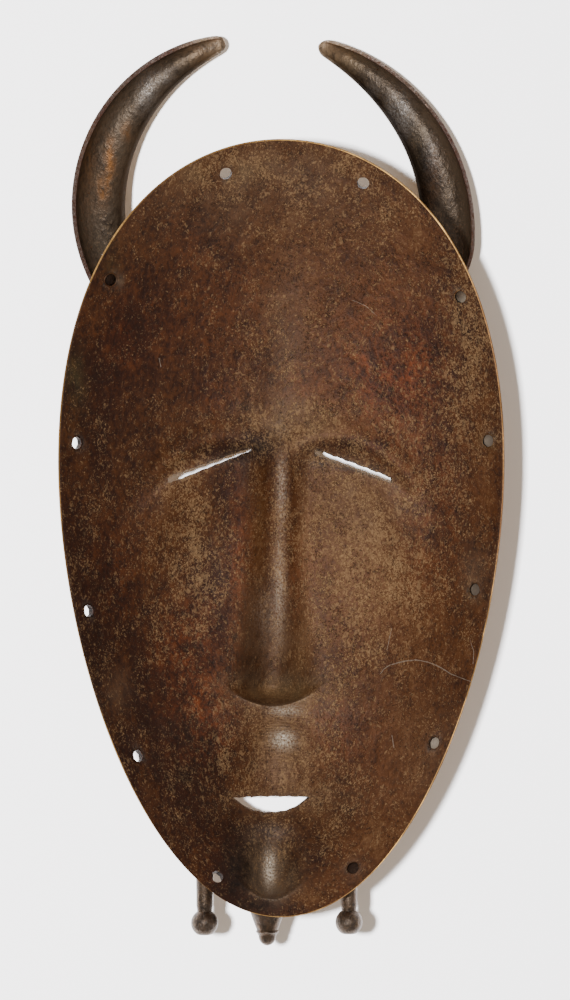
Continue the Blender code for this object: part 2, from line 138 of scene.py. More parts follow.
def eggLevel(x, y, inset=0.0):   # 1 at the middle of the face, 0 on its outline
    s = -y / (halfLength - inset)
    return 1 - s * s - (x / (halfWidth * eggShape(s) - inset)) ** 2


def across(x, y):
    return x - face["lean"] * y


def handWaves(x, y, seed, count, shortest, longest):
    # The unevenness of a hand-made wax: plane waves in every direction, about 1 high
    chance = np.random.default_rng(seed)
    total = np.zeros_like(x)
    for _ in range(count):
        length = chance.uniform(shortest, longest)
        angle = chance.uniform(0, math.tau)
        phase = chance.uniform(0, math.tau)
        total += np.sin((x * math.cos(angle) + y * math.sin(angle)) * math.tau / length + phase)
    return total / math.sqrt(count)


def bowlDepth(x, y):
    q = eggLevel(x, y, face["rimWidth"])
    return face["bowl"] * q * (1 + face["bowlRound"] - face["bowlRound"] * q)


def cheekSwell(x, y):
    side = np.abs(across(x, y)) / halfWidth
    return cheeks["swell"] * hump(side, *cheeks["across"]) * hump(y / halfLength, *cheeks["along"])


def browLine(side):
    fall = brow["drop"] * ((side - brow["peak"][0] * halfWidth) / halfWidth) ** 2
    return (brow["peak"][1] - fall) * halfLength


def browWindow(side):
    return fallTo(side / halfWidth, brow["end"], 0.3 * brow["end"])


def browHollow(x, y):
    side = np.abs(across(x, y))
    below = (browLine(side) - y) / halfLength
    groove = brow["groove"] * bell(below / brow["softness"]) * browWindow(side)
    socket = smoothStep(below / brow["socketStep"])
    socket = socket * bell(np.maximum(below - brow["socketStep"], 0) / brow["socketReach"][1])
    inner = riseFrom(side, brow["bridge"] / 4, brow["bridge"] * 0.65)
    outer = bell(np.maximum(side / halfWidth - brow["socketReach"][0], 0) / brow["socketFade"])
    return groove - brow["socketRise"] * socket * inner * outer


def noseHollow(x, y):
    length = (nose["root"] - nose["end"]) * halfLength
    along = (nose["root"] * halfLength - y) / (length - nose["tipInset"])
    t = np.clip(along, 0, 1)
    v = np.abs(across(x, y)) / (nose["rootSpread"] + (nose["endSpread"] - nose["rootSpread"]) * t)
    tipY = nose["end"] * halfLength + nose["tipInset"]
    deepest = face["depth"] + face["restFlat"] - face["wall"] - bowlDepth(0.0, tipY) - cheekSwell(0.0, tipY)
    depth = nose["rootDepth"] + (deepest - nose["rootDepth"]) * t ** nose["fall"]
    end = endWall(y, nose["end"], nose["arc"], nose["endRound"], v)
    start = smoothStep((along + 0.4 * nose["start"]) / nose["start"])
    return depth * np.exp(-v ** nose["squareness"]) * end * start


def muzzleHollow(x, y):
    level = y / halfLength
    swell = bell(across(x, y) / halfWidth / muzzle["width"]) * hump(level, *muzzle["along"])
    philtrum = bell(across(x, y) / muzzle["philtrumWidth"]) * hump(level, *muzzle["philtrumAlong"])
    return muzzle["depth"] * swell + muzzle["philtrumDepth"] * philtrum


def chinHollow(x, y):
    down = np.clip((chin["top"] - y / halfLength) / (chin["top"] - chin["end"]), 0, 1)
    v = np.abs(across(x, y)) / (chin["spread"] * (1 - chin["taper"] * down))
    end = endWall(y, chin["end"], chin["arc"], chin["endRound"], v)
    start = smoothStep((chin["top"] * halfLength - y) / chin["startStep"])
    return chin["depth"] * np.exp(-v ** chin["squareness"]) * end * start


def foreheadGroove(x, y):
    level = y / halfLength
    window = riseFrom(level, nose["root"], forehead["start"]) * fallTo(level, *forehead["top"])
    return forehead["groove"] * bell(across(x, y) / forehead["grooveWidth"]) * window


waxWaves = {"broadHeight": 0.00016, "broad": (0.018, 0.050), "fineHeight": 0.00005, "fine": (0.005, 0.013),
            "count": 14, "seed": 41}


def waxUnevenness(x, y):
    inside = smoothStep(eggLevel(x, y) / 0.10)
    broad = handWaves(x, y, waxWaves["seed"], waxWaves["count"], *waxWaves["broad"])
    fine = handWaves(x, y, waxWaves["seed"] + 1, waxWaves["count"], *waxWaves["fine"])
    return inside * (waxWaves["broadHeight"] * broad + waxWaves["fineHeight"] * fine)


def hollowDepth(x, y):   # depth of the inside below the rim
    depth = bowlDepth(x, y) + cheekSwell(x, y) + browHollow(x, y) + noseHollow(x, y)
    return depth + muzzleHollow(x, y) + chinHollow(x, y) + foreheadGroove(x, y)


def insideDepth(x, y):
    return hollowDepth(x, y) + waxUnevenness(x, y)


def ringRound(x, y, centre, slope, reach):   # a raised ring round an almond shape
    dx = x - centre[0]
    dy = y - centre[1] - slope * dx
    return bell((np.sqrt((dx / reach[0]) ** 2 + (dy / reach[1]) ** 2) - 1) / 0.33)


def frontRelief(x, y):
    side = np.abs(across(x, y))
    ridge = brow["ridge"] * bell((browLine(side) - y) / halfLength / 0.03) * browWindow(side)
    inner, outer = eyes["inner"], eyes["outer"]
    centre = ((inner[0] + outer[0]) / 2 * halfWidth, (inner[1] + outer[1]) / 2 * halfLength)
    slope = (outer[1] - inner[1]) * halfLength / ((outer[0] - inner[0]) * halfWidth)
    lids = eyes["lid"] * ringRound(side, y, centre, slope, eyes["lidReach"])
    mouthY = mouth["top"] * halfLength - mouth["height"] / 2
    lips = mouth["lip"] * ringRound(across(x, y), y, (0, mouthY), 0, mouth["lipReach"])
    wings = nose["wing"] * hump(side, *nose["wingAcross"])
    wings = wings * hump(y - nose["end"] * halfLength, *nose["wingAlong"])
    return ridge + lids + lips + wings


def frontDepth(x, y):
    # The front stands one wall away from the hollow in every direction, and has its own relief
    wall = face["wall"]
    depth = hollowDepth(x, y) + wall
    for ring in face["wallRings"]:
        lift = wall * math.sqrt(1 - ring * ring)
        for step in range(face["wallSteps"]):
            angle = step * math.tau / face["wallSteps"]
            shifted = hollowDepth(x + ring * wall * math.cos(angle), y + ring * wall * math.sin(angle))
            depth = np.maximum(depth, shifted + lift)
    depth = depth + frontRelief(x, y) + waxUnevenness(x + 0.003, y)
    return np.minimum(depth, face["depth"])


def bunched(start, end, count, density):   # positions that lie closer where the density is higher
    fine = np.linspace(start, end, 3201)
    weight = density(fine)
    total = np.concatenate(([0], np.cumsum((weight[1:] + weight[:-1]) / 2)))
    return np.interp(np.linspace(0, total[-1], count), total, fine)


def rowDensity(angle):   # more rows at the eyes, the end of the nose, the mouth and the end of the chin
    places = ((0.20, 0.10, 1.2), (nose["end"] + 0.02, 0.05, 2.2), (mouth["top"], 0.08, 0.8),
              (chin["end"] + 0.05, 0.07, 0.8))
    return 1 + sum(more * hump(np.cos(angle), place, reach) for place, reach, more in places)


def columnDensity(u):   # more columns on the nose and near the rim
    return 1 + 1.3 * bell(u / 0.20) + 0.6 * hump(np.abs(u), 1, 0.06)


def rowBend(x, y):   # rows follow the brow, the end of the nose and the end of the chin
    side = np.abs(x)
    browTop = brow["peak"][1] * halfLength
    bend = browLine(np.minimum(side, 0.62 * halfWidth)) - browTop
    bend = bend * bell((y - browTop) / (0.22 * halfLength))
    for end, arc, spread in ((nose["end"], nose["arc"], nose["endSpread"]),
                             (chin["end"], chin["arc"], chin["spread"] * (1 - chin["taper"]))):
        v = np.minimum(side / spread, 2)
        bend = bend + arc * v * v * bell((y - end * halfLength) / (0.08 * halfLength))
    return bend


def faceGrid(inset):
    angles = bunched(0, math.pi, face["rows"], rowDensity)
    columns = bunched(-1, 1, face["columns"], columnDensity)[None, :]
    y = np.cos(angles)[:, None] * (halfLength - inset) + 0 * columns
    inner = (1 - columns ** 4) * (1 - np.cos(angles)[:, None] ** 8)
    y = y + rowBend(columns * halfWidthAt(y, inset), y) * inner
    return columns * halfWidthAt(y, inset) + face["lean"] * y * inner, y


def newObject(name, data):
    piece = bpy.data.objects.new(name, data)
    bpy.context.scene.collection.objects.link(piece)
    return piece


def meshObject(name, mesh):
    data = bpy.data.meshes.new(name)
    bmesh.ops.recalc_face_normals(mesh, faces=mesh.faces)
    mesh.to_mesh(data)
    mesh.free()
    return newObject(name, data)


def faceSolid(name, inset, depthAt, lid):   # a closed solid between a depth field and a flat lid
    x, y = faceGrid(inset)
    depth = depthAt(x, y)
    mesh = bmesh.new()
    rows, columns = x.shape
    grid = []
    for row in range(rows):
        if row in (0, rows - 1):
            grid.append([mesh.verts.new((0, y[row, 0], -depth[row, 0]))] * columns)
        else:
            grid.append([mesh.verts.new((x[row, c], y[row, c], -depth[row, c])) for c in range(columns)])
    for row in range(rows - 1):
        upper, lower = grid[row], grid[row + 1]
        for c in range(columns - 1):
            corners = [upper[c], lower[c]]
            corners += [vert for vert in (lower[c + 1], upper[c + 1]) if vert not in corners]
            mesh.faces.new(corners)
    edge = [grid[row][0] for row in range(rows)]
    edge += [grid[row][-1] for row in range(rows - 2, 0, -1)]
    top = [mesh.verts.new((vert.co.x, vert.co.y, lid)) for vert in edge]
    for index, vert in enumerate(edge):
        after = (index + 1) % len(edge)
        mesh.faces.new((vert, edge[after], top[after], top[index]))
    mesh.faces.new(top)
    return meshObject(name, mesh)


def loft(name, sections):   # a closed solid through rings with the same number of points
    mesh = bmesh.new()
    rings = [[mesh.verts.new(point) for point in section] for section in sections]
    for ring, following in zip(rings, rings[1:]):
        for index in range(len(ring)):
            after = (index + 1) % len(ring)
            mesh.faces.new((ring[index], ring[after], following[after], following[index]))
    mesh.faces.new(rings[0])
    mesh.faces.new(rings[-1])
    return meshObject(name, mesh)


# The horns are open troughs along an arc: centre, radius, angles at the root and at the tip
horns = {
    "left": {"centre": (-0.0018, 0.1207), "radius": 0.0656, "root": 246.0, "tip": 105.2, "tipDepth": 0.0386,
             "lip": 0.0006, "pulls": ()},
    "right": {"centre": (-0.0114, 0.1110), "radius": 0.0774, "root": -58.0, "tip": 69.0, "tipDepth": 0.0393,
              "lip": 0.0002, "pulls": ((0.0015, 0.70, 0.40), (0.0042, 0.44, 0.16))},   # inwards, end, over
    "width": 0.0202,
    "rootWidth": 0.0130,
    "tipWidth": 0.0050,
    "taperAngle": 72.0,
    "taperPower": 0.74,
    "wall": 0.0020,
    "edge": 0.0010,
    "trough": 0.54,          # depth of the trough and of the front as a share of its width
    "front": 0.62,
    "outerSquareness": 2.3,
    "troughSquareness": 2.3,
    "rootDepth": 0.0115,
    "tipLength": 0.0032,     # the solid, rounded tip
    "tipWidthLeft": 0.12,    # shares that are left of the width and of the depth at the very tip
    "tipDepthLeft": 0.35,
    "tipDrop": 0.0014,
    "troughStart": (0.0012, 0.010),
    "thinnest": 0.0006,
    "lipStart": 0.02,
    "bunching": 1.25,        # the sections lie closer towards the tip
    "stations": 110,
    "sides": 26,
}


def hornWidth(fromTip, arc):
    if fromTip < horns["taperAngle"]:
        rise = math.sin(math.pi / 2 * fromTip / horns["taperAngle"]) ** horns["taperPower"]
        return horns["tipWidth"] + (horns["width"] - horns["tipWidth"]) * rise
    fall = float(riseFrom(fromTip, horns["taperAngle"], arc - horns["taperAngle"]))
    return horns["width"] + (horns["rootWidth"] - horns["width"]) * fall


def hornEdgeDepth(horn, share):
    return horns["rootDepth"] + (horn["tipDepth"] - horns["rootDepth"]) * (1 - (1 - share) ** 2)


def squaredTurn(turn, squareness):   # cosine and sine of a rounded square
    cosine, sine = math.cos(turn), math.sin(turn)
    power = 2 / squareness
    return math.copysign(abs(cosine) ** power, cosine), abs(sine) ** power


def hornSection(horn, share):
    arc = abs(horn["tip"] - horn["root"])
    angle = math.radians(horn["root"] + (horn["tip"] - horn["root"]) * share)
    width = hornWidth(arc * (1 - share), arc)
    fromTip = math.radians(arc * (1 - share)) * horn["radius"]
    closing = math.sqrt(max(0.0, 1 - max(0.0, 1 - fromTip / horns["tipLength"]) ** 2))
    edgeDepth = hornEdgeDepth(horn, share)
    half = width / 2 * max(closing, horns["tipWidthLeft"])
    lip = horn["lip"] * min(1.0, fromTip / horns["lipStart"])
    troughHalf = max(half - horns["edge"] - lip / 2, half * 0.35)
    clearWidth = width - 2 * horns["edge"]
    outerDepth = clearWidth * horns["front"] + horns["wall"]
    outerDepth *= horns["tipDepthLeft"] + (1 - horns["tipDepthLeft"]) * closing
    trough = clearWidth * horns["trough"] * (float(riseFrom(fromTip, *horns["troughStart"])) * 0.9 + 0.1)
    trough = min(trough, outerDepth - horns["thinnest"])
    tipDrop = horns["tipDrop"] * (1 - closing)
    points = []
    sides = horns["sides"]
    for index in range(sides + 1):
        cosine, sine = squaredTurn(math.pi * index / sides, horns["outerSquareness"])
        points.append((-cosine * half, outerDepth * sine))
    for index in range(sides - 2, 0, -1):
        cosine, sine = squaredTurn(math.pi * (index + 0.5) / (sides - 1), horns["troughSquareness"])
        points.append((-cosine * troughHalf - lip / 2, trough * sine))
    section = []
    pull = sum(far * float(fallTo(share, end, over)) for far, end, over in horn["pulls"])
    for offset, drop in points:
        reach = horn["radius"] + offset - pull
        x = horn["centre"][0] + reach * math.cos(angle)
        y = horn["centre"][1] + reach * math.sin(angle)
        section.append((x, y, -min(edgeDepth + tipDrop + drop, face["depth"])))
    return section


def hornSolid(side):
    last = horns["stations"] - 1
    shares = [1 - (1 - index / last) ** horns["bunching"] for index in range(last + 1)]
    return loft(side + "Horn", [hornSection(horns[side], share) for share in shares])


legs = {"places": (-0.0281, 0.0259), "root": -0.70, "diameter": 0.0067, "neck": 0.0055, "neckLength": 0.0090,
        "ball": 0.0101, "flat": 0.84, "depth": 0.0140, "overhang": 0.0076, "sides": 28}
beard = {"place": -0.0045, "depth": 0.0165, "width": 0.0186, "tip": 0.0058, "overhang": 0.0122, "sides": 28,
         "ring": ((0.0003, 0.0013), (0.0008, 0.0013), (0.0011, 0.0009), (0.0016, 0.0006))}


def turned(name, centreX, depth, sides, profile):   # a round piece along Y from pairs of place and radius
    sections = []
    for y, radius in profile:
        turns = [step * math.tau / sides for step in range(sides)]
        sections.append([(centreX + radius * math.cos(turn), y, radius * math.sin(turn) - depth)
                         for turn in turns])
    return loft(name, sections)


def legSolid(name, place):
    end = -halfLength - legs["overhang"]
    ball = legs["ball"] / 2
    centre = end + ball * legs["flat"]
    neck = math.asin(legs["neck"] / legs["ball"])
    last = math.pi - math.acos(legs["flat"])
    start, narrowing = legs["neckLength"], legs["neck"] - legs["diameter"]
    profile = [(legs["root"] * halfLength, legs["diameter"] / 2), (centre + start, legs["diameter"] / 2)]
    for step in range(1, 7):
        y = centre + start + (ball * math.cos(neck) - start) * step / 6
        profile.append((y, (legs["diameter"] + narrowing * float(smoothStep(step / 6))) / 2))
    for step in range(1, 17):
        turn = neck + (last - neck) * step / 16
        profile.append((centre + ball * math.cos(turn), ball * math.sin(turn)))
    profile.append((end - 0.0002, ball * math.sin(last) * 0.72))
    return turned(name, place, legs["depth"], legs["sides"], profile)


def beardSolid():
    tip = -halfLength - beard["overhang"]
    root = chin["end"] * halfLength + 0.012
    tipRadius = beard["tip"] / 2
    ringY = tip + 0.0058
    profile = []
    for step in range(15):
        share = step / 14
        y = root + (ringY - root) * share
        profile.append((y, beard["width"] / 2 + (tipRadius + 0.0010 - beard["width"] / 2) * share ** 1.9))
    profile += [(ringY - back, tipRadius + radius) for back, radius in beard["ring"]]
    for step in range(9):
        turn = math.pi / 2 * step / 8
        radius = max((tipRadius + 0.0004) * math.cos(turn), 0.0003)
        profile.append((ringY - 0.0020 - 0.0038 * math.sin(turn), radius))
    return turned("beard", beard["place"], beard["depth"], beard["sides"], profile)


def prism(name, outline, bottom, top):
    return loft(name, [[(x, y, level) for x, y in outline] for level in (bottom, top)])


def eyeCutter(side):
    steps = 30
    upper, lower = [], []
    start, innerHeight, outerHeight = eyes["slits"][side]
    for step in range(steps + 1):
        share = start + (1 - start) * step / steps
        level = eyes["inner"][1] + (eyes["outer"][1] - eyes["inner"][1]) * share
        y = level * halfLength + eyes["bow"] * 4 * share * (1 - share)
        x = side * (eyes["inner"][0] + (eyes["outer"][0] - eyes["inner"][0]) * share) * halfWidth
        x += face["lean"] * y
        height = innerHeight + (outerHeight - innerHeight) * share
        height *= 0.7 + 0.3 * min(1.0, math.sin(math.pi * step / steps) * 9.0)   # rounded ends
        shift = ragged(share, eyes["ragged"][side])
        upper.append((x, y + height / 2 + shift))
        lower.append((x, y - height / 2 + shift * 0.6))
    return prism("leftEye" if side < 0 else "rightEye", upper + lower[::-1], -face["depth"], 0.0)


def mouthCutter():
    top = mouth["top"] * halfLength
    upper, lower = [], []
    for steps, edge, waves in ((24, upper, mouth["raggedTop"]), (32, lower, mouth["raggedBottom"])):
        for step in range(steps + 1):
            share = 2 * step / steps - 1
            drop = mouth["height"] * (1 - abs(share) ** mouth["droop"]) if edge is lower else 0
            edge.append((face["lean"] * top + share * mouth["width"] / 2,
                         top - drop + ragged(share, waves) * (1 - share ** 4)))
    return prism("mouth", upper + lower[-2:0:-1], -face["depth"], 0.0)


class Wire:   # an output in a node tree, which adds, subtracts and multiplies like a number
    def __init__(self, tree, socket):
        self.tree, self.socket = tree, socket

    def maths(self, operation, first, second):
        return addWire(self.tree, "ShaderNodeMath", {0: first, 1: second}, operation=operation)

    def __add__(self, other):
        return self.maths("ADD", self, other)

    def __sub__(self, other):
        return self.maths("SUBTRACT", self, other)

    def __rsub__(self, other):
        return self.maths("SUBTRACT", other, self)

    def __mul__(self, other):
        return self.maths("MULTIPLY", self, other)

    def __rtruediv__(self, other):
        return self.maths("DIVIDE", other, self)

    def atLeast(self, other):
        return self.maths("MAXIMUM", self, other)

    def clamped(self):
        self.socket.node.use_clamp = True
        return self

    def stretched(self, factors):
        return addWire(self.tree, "ShaderNodeVectorMath", {0: self, 1: factors}, operation="MULTIPLY")

    def scaled(self, factor):
        return addWire(self.tree, "ShaderNodeVectorMath", {0: self, "Scale": factor}, operation="SCALE")


def addNode(tree, kind, values=None, **settings):   # a value that is a wire is linked
    node = tree.nodes.new(kind)
    for name, value in settings.items():
        setattr(node, name, value)
    for name, value in (values or {}).items():
        if isinstance(value, Wire):
            tree.links.new(value.socket, node.inputs[name])
        else:
            node.inputs[name].default_value = value
    return node


def addWire(tree, kind, values=None, output=0, **settings):
    return Wire(tree, addNode(tree, kind, values, **settings).outputs[output])


def noise(place, scale, output=0, **values):   # plain in space, or with a seed as its fourth direction
    inputs = {"Vector": place, "Scale": scale, **{name.title(): value for name, value in values.items()}}
    dimensions = "3D"
    if "Seed" in inputs:
        inputs["W"] = inputs.pop("Seed")
        dimensions = "4D"
    return addWire(place.tree, "ShaderNodeTexNoise", inputs, output, noise_dimensions=dimensions)


def newTree(name, kind, made, inputs):   # an input is given by its first value, or by its kind if none
    tree = bpy.data.node_groups.new(name, kind)
    for label, value in inputs.items():
        socket = value if isinstance(value, str) else {int: "Int", float: "Float"}[type(value)]
        item = tree.interface.new_socket(label, in_out="INPUT", socket_type="NodeSocket" + socket)
        if socket != value:
            item.default_value = value
    socket = "NodeSocketFloat" if made == "Mask" else "NodeSocketGeometry"
    tree.interface.new_socket(made, in_out="OUTPUT", socket_type=socket)
    sources = tree.nodes.new("NodeGroupInput").outputs
    given = {label: Wire(tree, sources[label]) for label in inputs}
    return tree, given, tree.nodes.new("NodeGroupOutput").inputs[0]


def shapeTree(name, **inputs):
    return newTree(name, "GeometryNodeTree", "Geometry", {**inputs, "Material": "Material"})


def maskGroup(name, **inputs):
    return newTree(name, "ShaderNodeTree", "Mask", {"Vector": "Vector", **inputs})


def evaluate(piece):   # the piece gets the plain mesh that its modifiers make
    bpy.context.view_layer.update()
    result = bpy.data.meshes.new_from_object(piece.evaluated_get(bpy.context.evaluated_depsgraph_get()))
    piece.modifiers.clear()
    piece.data = result


def growPiece(piece, tree, region, **values):   # runs a tree on its piece and marks what it makes
    modifier = piece.modifiers.new(tree.name, "NODES")
    modifier.node_group = tree
    values["Material"] = regionMaterials[regions[region]]
    for item in tree.interface.items_tree:
        if item.in_out == "INPUT" and item.name in values:
            modifier[item.identifier] = values[item.name]
    evaluate(piece)
    piece.data.materials.clear()
    return markRegion(piece, region)


def pointCloud(name, points, vectors):   # loose points that carry a direction
    data = bpy.data.meshes.new(name)
    data.from_pydata([tuple(point) for point in points], [], [])
    direction = data.attributes.new("wallNormal", "FLOAT_VECTOR", "POINT")
    direction.data.foreach_set("vector", [value for vector in vectors for value in vector])
    return newObject(name, data)


def finishTree(geometry, given, made):   # every tree ends in the same two nodes
    tree = geometry.tree
    real = addWire(tree, "GeometryNodeRealizeInstances", {"Geometry": geometry})
    painted = addWire(tree, "GeometryNodeSetMaterial", {"Geometry": real, "Material": given["Material"]})
    tree.links.new(painted.socket, made)


def shakenPosition(geometry, given, size):   # small uneven shifts
    tree = geometry.tree
    place = addWire(tree, "GeometryNodeInputPosition")
    chance = noise(place, 1 / size, "Color", seed=given["Seed"], detail=2.0)
    centred = addWire(tree, "ShaderNodeVectorMath", {0: chance, 1: (0.5, 0.5, 0.5)}, operation="SUBTRACT")
    shift = centred.scaled(given["Unevenness"])
    return addWire(tree, "GeometryNodeSetPosition", {"Geometry": geometry, "Offset": shift})


def namedValue(tree, name, kind="FLOAT"):
    return addWire(tree, "GeometryNodeInputNamedAttribute", {"Name": name}, data_type=kind)


def placedOnWall(points, instance, **more):   # copies that stand square to the wall at these points
    tree = points.tree
    turn = addWire(tree, "FunctionNodeAlignRotationToVector",
                   {"Vector": namedValue(tree, "wallNormal", "FLOAT_VECTOR")}, axis="Z")
    return addWire(tree, "GeometryNodeInstanceOnPoints",
                   {"Points": points, "Instance": instance, "Rotation": turn, **more})


def circle(tree, sides, radius):
    return addWire(tree, "GeometryNodeCurvePrimitiveCircle", {"Resolution": sides, "Radius": radius})


def chanceBetween(seed, low, high):   # a number, or a vector between two vectors
    kind, output = ("FLOAT_VECTOR", 0) if isinstance(low, tuple) else ("FLOAT", 1)
    return addWire(seed.tree, "FunctionNodeRandomValue", {"Min": low, "Max": high, "Seed": seed}, output,
                   data_type=kind)


lacing = {
    "diameter": 0.0050,
    "sides": 9,
    "unevenness": 0.0005,
    # degrees from the top, inset and lean of each hole
    "left": ((13.9, 0.0090, 0), (48.9, 0.0069, 0), (77.3, 0.0068, 0.18), (102.7, 0.0055, 0.16),
             (127.3, 0.0070, 0.22), (158.0, 0.0055, 0)),
    "right": ((20.5, 0.0079, 0), (52.3, 0.0061, 0), (76.9, 0.0056, 0), (99.6, 0.0062, 0), (124.7, 0.0054, 0),
              (155.1, 0.0060, 0)),
}
plugs = {"places": ((1, -0.0009), (7, -0.0008), (8, -0.0002), (9, -0.0002), (10, -0.0006), (11, -0.0009)),
         "overlap": 0.0006, "sides": 14, "depth": 0.0007, "unevenness": 0.0003, "seed": 11}   # hole and lift


def rimPoint(station, side, inset):   # a point this far in from the rim line, at an angle from the top
    angle = math.radians(station)
    y = math.cos(angle) * halfLength
    x = side * float(halfWidthAt(y))
    step = 0.0005
    slopeX = float(eggLevel(x + step, y) - eggLevel(x - step, y))
    slopeY = float(eggLevel(x, y + step) - eggLevel(x, y - step))
    size = math.hypot(slopeX, slopeY)
    return x + inset * slopeX / size, y + inset * slopeY / size


def wallNormal(x, y):
    step = 0.001
    slopeX = float(hollowDepth(x + step, y) - hollowDepth(x - step, y)) / (2 * step)
    slopeY = float(hollowDepth(x, y + step) - hollowDepth(x, y - step)) / (2 * step)
    return Vector((slopeX, slopeY, 1)).normalized()


def lacingPlaces(lift):   # the middle of each hole, raised from the middle of the wall, and its direction
    points, normals = [], []
    for side, name in ((-1, "left"), (1, "right")):
        for station, inset, leaning in lacing[name]:
            x, y = rimPoint(station, side, inset)
            normal = wallNormal(x, y)
            points.append(Vector((x, y, -float(hollowDepth(x, y)))) + normal * (lift - face["wall"] / 2))
            normals.append((normal + Vector((leaning, 0, 0))).normalized())
    return points, normals


def wallPrisms():   # uneven prisms that stand square to the wall
    tree, given, made = shapeTree("wallPrisms", Points="Geometry", Diameter=0.005, Sides=9, Depth=0.006,
                                  Unevenness=0.0004, Seed=3)
    sizes = {"Vertices": given["Sides"], "Radius": given["Diameter"] * 0.5, "Depth": given["Depth"]}
    cylinder = addWire(tree, "GeometryNodeMeshCylinder", sizes)
    size = chanceBetween(given["Seed"], (0.93, 0.93, 1.0), (1.06, 1.06, 1.0))
    placed = placedOnWall(given["Points"], cylinder, Scale=size)
    turn = chanceBetween(given["Seed"], (0, 0, 0), (0, 0, math.tau))
    rolled = addWire(tree, "GeometryNodeRotateInstances", {"Instances": placed, "Rotation": turn})
    real = addWire(tree, "GeometryNodeRealizeInstances", {"Geometry": rolled})
    finishTree(shakenPosition(real, given, 0.002), given, made)
    return tree


prismTree = wallPrisms()


def lacingHoles():
    cutter = pointCloud("lacingCutter", *lacingPlaces(0.0))
    return growPiece(cutter, prismTree, "hole", Diameter=lacing["diameter"], Sides=lacing["sides"],
                     Unevenness=lacing["unevenness"])


def dirtPlugs():   # discs in half of the holes: dark painted shade in holes 1 and 11, where shaded roots lie beneath; pale discs like the shaded floor in holes 7 and 10, which also keep the lamp from shining through; olive-grey discs in holes 8 and 9
    points, normals = lacingPlaces(0.0)
    places = [points[index] + normals[index] * lift for index, lift in plugs["places"]]
    cloud = pointCloud("dirtPlugs", places, [normals[index] for index, lift in plugs["places"]])
    return growPiece(cloud, prismTree, "plug", Diameter=lacing["diameter"] + plugs["overlap"],
                     Sides=plugs["sides"], Depth=plugs["depth"], Unevenness=plugs["unevenness"],
                     Seed=plugs["seed"])


def combine(target, pieces, operation):
    for piece in pieces:
        modifier = target.modifiers.new(operation.lower(), "BOOLEAN")
        modifier.operation = operation
        modifier.object = piece
        modifier.solver = "MANIFOLD"
    evaluate(target)
    for piece in pieces:
        bpy.data.objects.remove(piece)


# The camera looks down from straight above, displaced a little to the left. Stains, painted light and
# shade, and scratches are placed by the pixels of this view, and put on the surface that shows there.
view = {"metresPerPixel": 0.00037, "distance": 1.5, "leanDegrees": 3.5, "faceMiddle": (282, 487.0),
        "frameMiddle": (285, 500), "sensor": 36}
lean = math.radians(view["leanDegrees"])
backward = Vector((-math.sin(lean), 0, math.cos(lean)))
upward = Vector((0, 1, 0))
rightward = upward.cross(backward)
viewTarget = Vector(((view["frameMiddle"][0] - view["faceMiddle"][0]) * view["metresPerPixel"],
                     (view["faceMiddle"][1] - view["frameMiddle"][1]) * view["metresPerPixel"], maskHigh[2]))
viewPoint = viewTarget + backward * view["distance"]
placeY = maskLow[1] + beard["overhang"] + halfLength
faceOrigin = Vector((0, placeY, maskHigh[2]))


def fromView(pixelX, pixelY):   # the point of the hollow that shows at this pixel, in the face's own frame
    scale = view["metresPerPixel"]
    ray = -backward * view["distance"] + rightward * ((pixelX - view["frameMiddle"][0]) * scale)
    ray += upward * ((view["frameMiddle"][1] - pixelY) * scale)
    start = viewPoint - faceOrigin
    depth = 0.0
    for _ in range(4):
        place = start + ray * ((-depth - start.z) / ray.z)
        depth = float(insideDepth(np.array(place.x), np.array(place.y)))
    return place


def toView(places):   # the pixel at which each point of the finished mask shows
    offset = places - np.array(viewPoint)
    distance = -(offset @ np.array(backward))
    scale = view["distance"] / view["metresPerPixel"]
    return (view["frameMiddle"][0] + (offset @ np.array(rightward)) / distance * scale,
            view["frameMiddle"][1] - (offset @ np.array(upward)) / distance * scale)


# Regions of the casting, kept apart by material slots until they become attributes
regionNames = ("front", "hollow", "horn", "leg", "beard", "cut", "rim", "grain", "line", "hole", "plug")
regions = {name: index for index, name in enumerate(regionNames)}
regionMaterials = [bpy.data.materials.new("region_" + name) for name in regions]


def markRegion(piece, name):
    for material in regionMaterials:
        piece.data.materials.append(material)
    piece.data.polygons.foreach_set("material_index", [regions[name]] * len(piece.data.polygons))
    return piece


def castMask():
    mask = markRegion(faceSolid("bronze_mask", 0.0, frontDepth, 0.0), "front")
    hollow = faceSolid("hollow", face["rimWidth"] - face["lidOverlap"], insideDepth, 0.002)
    markRegion(hollow, "hollow")
    added = [markRegion(hornSolid("left"), "horn"), markRegion(hornSolid("right"), "horn")]
    added += [markRegion(legSolid("leg", place), "leg") for place in legs["places"]]
    added.append(markRegion(beardSolid(), "beard"))
    combine(mask, added, "UNION")
    print("horns, legs and beard joined:", len(mask.data.polygons), "faces")
    combine(mask, [hollow], "DIFFERENCE")
    cutters = [markRegion(cutter, "cut") for cutter in (eyeCutter(-1), eyeCutter(1), mouthCutter())]
    combine(mask, cutters + [lacingHoles()], "DIFFERENCE")
    print("hollowed and pierced:", len(mask.data.polygons), "faces")
    return mask


mask = castMask()
print("mask cast")


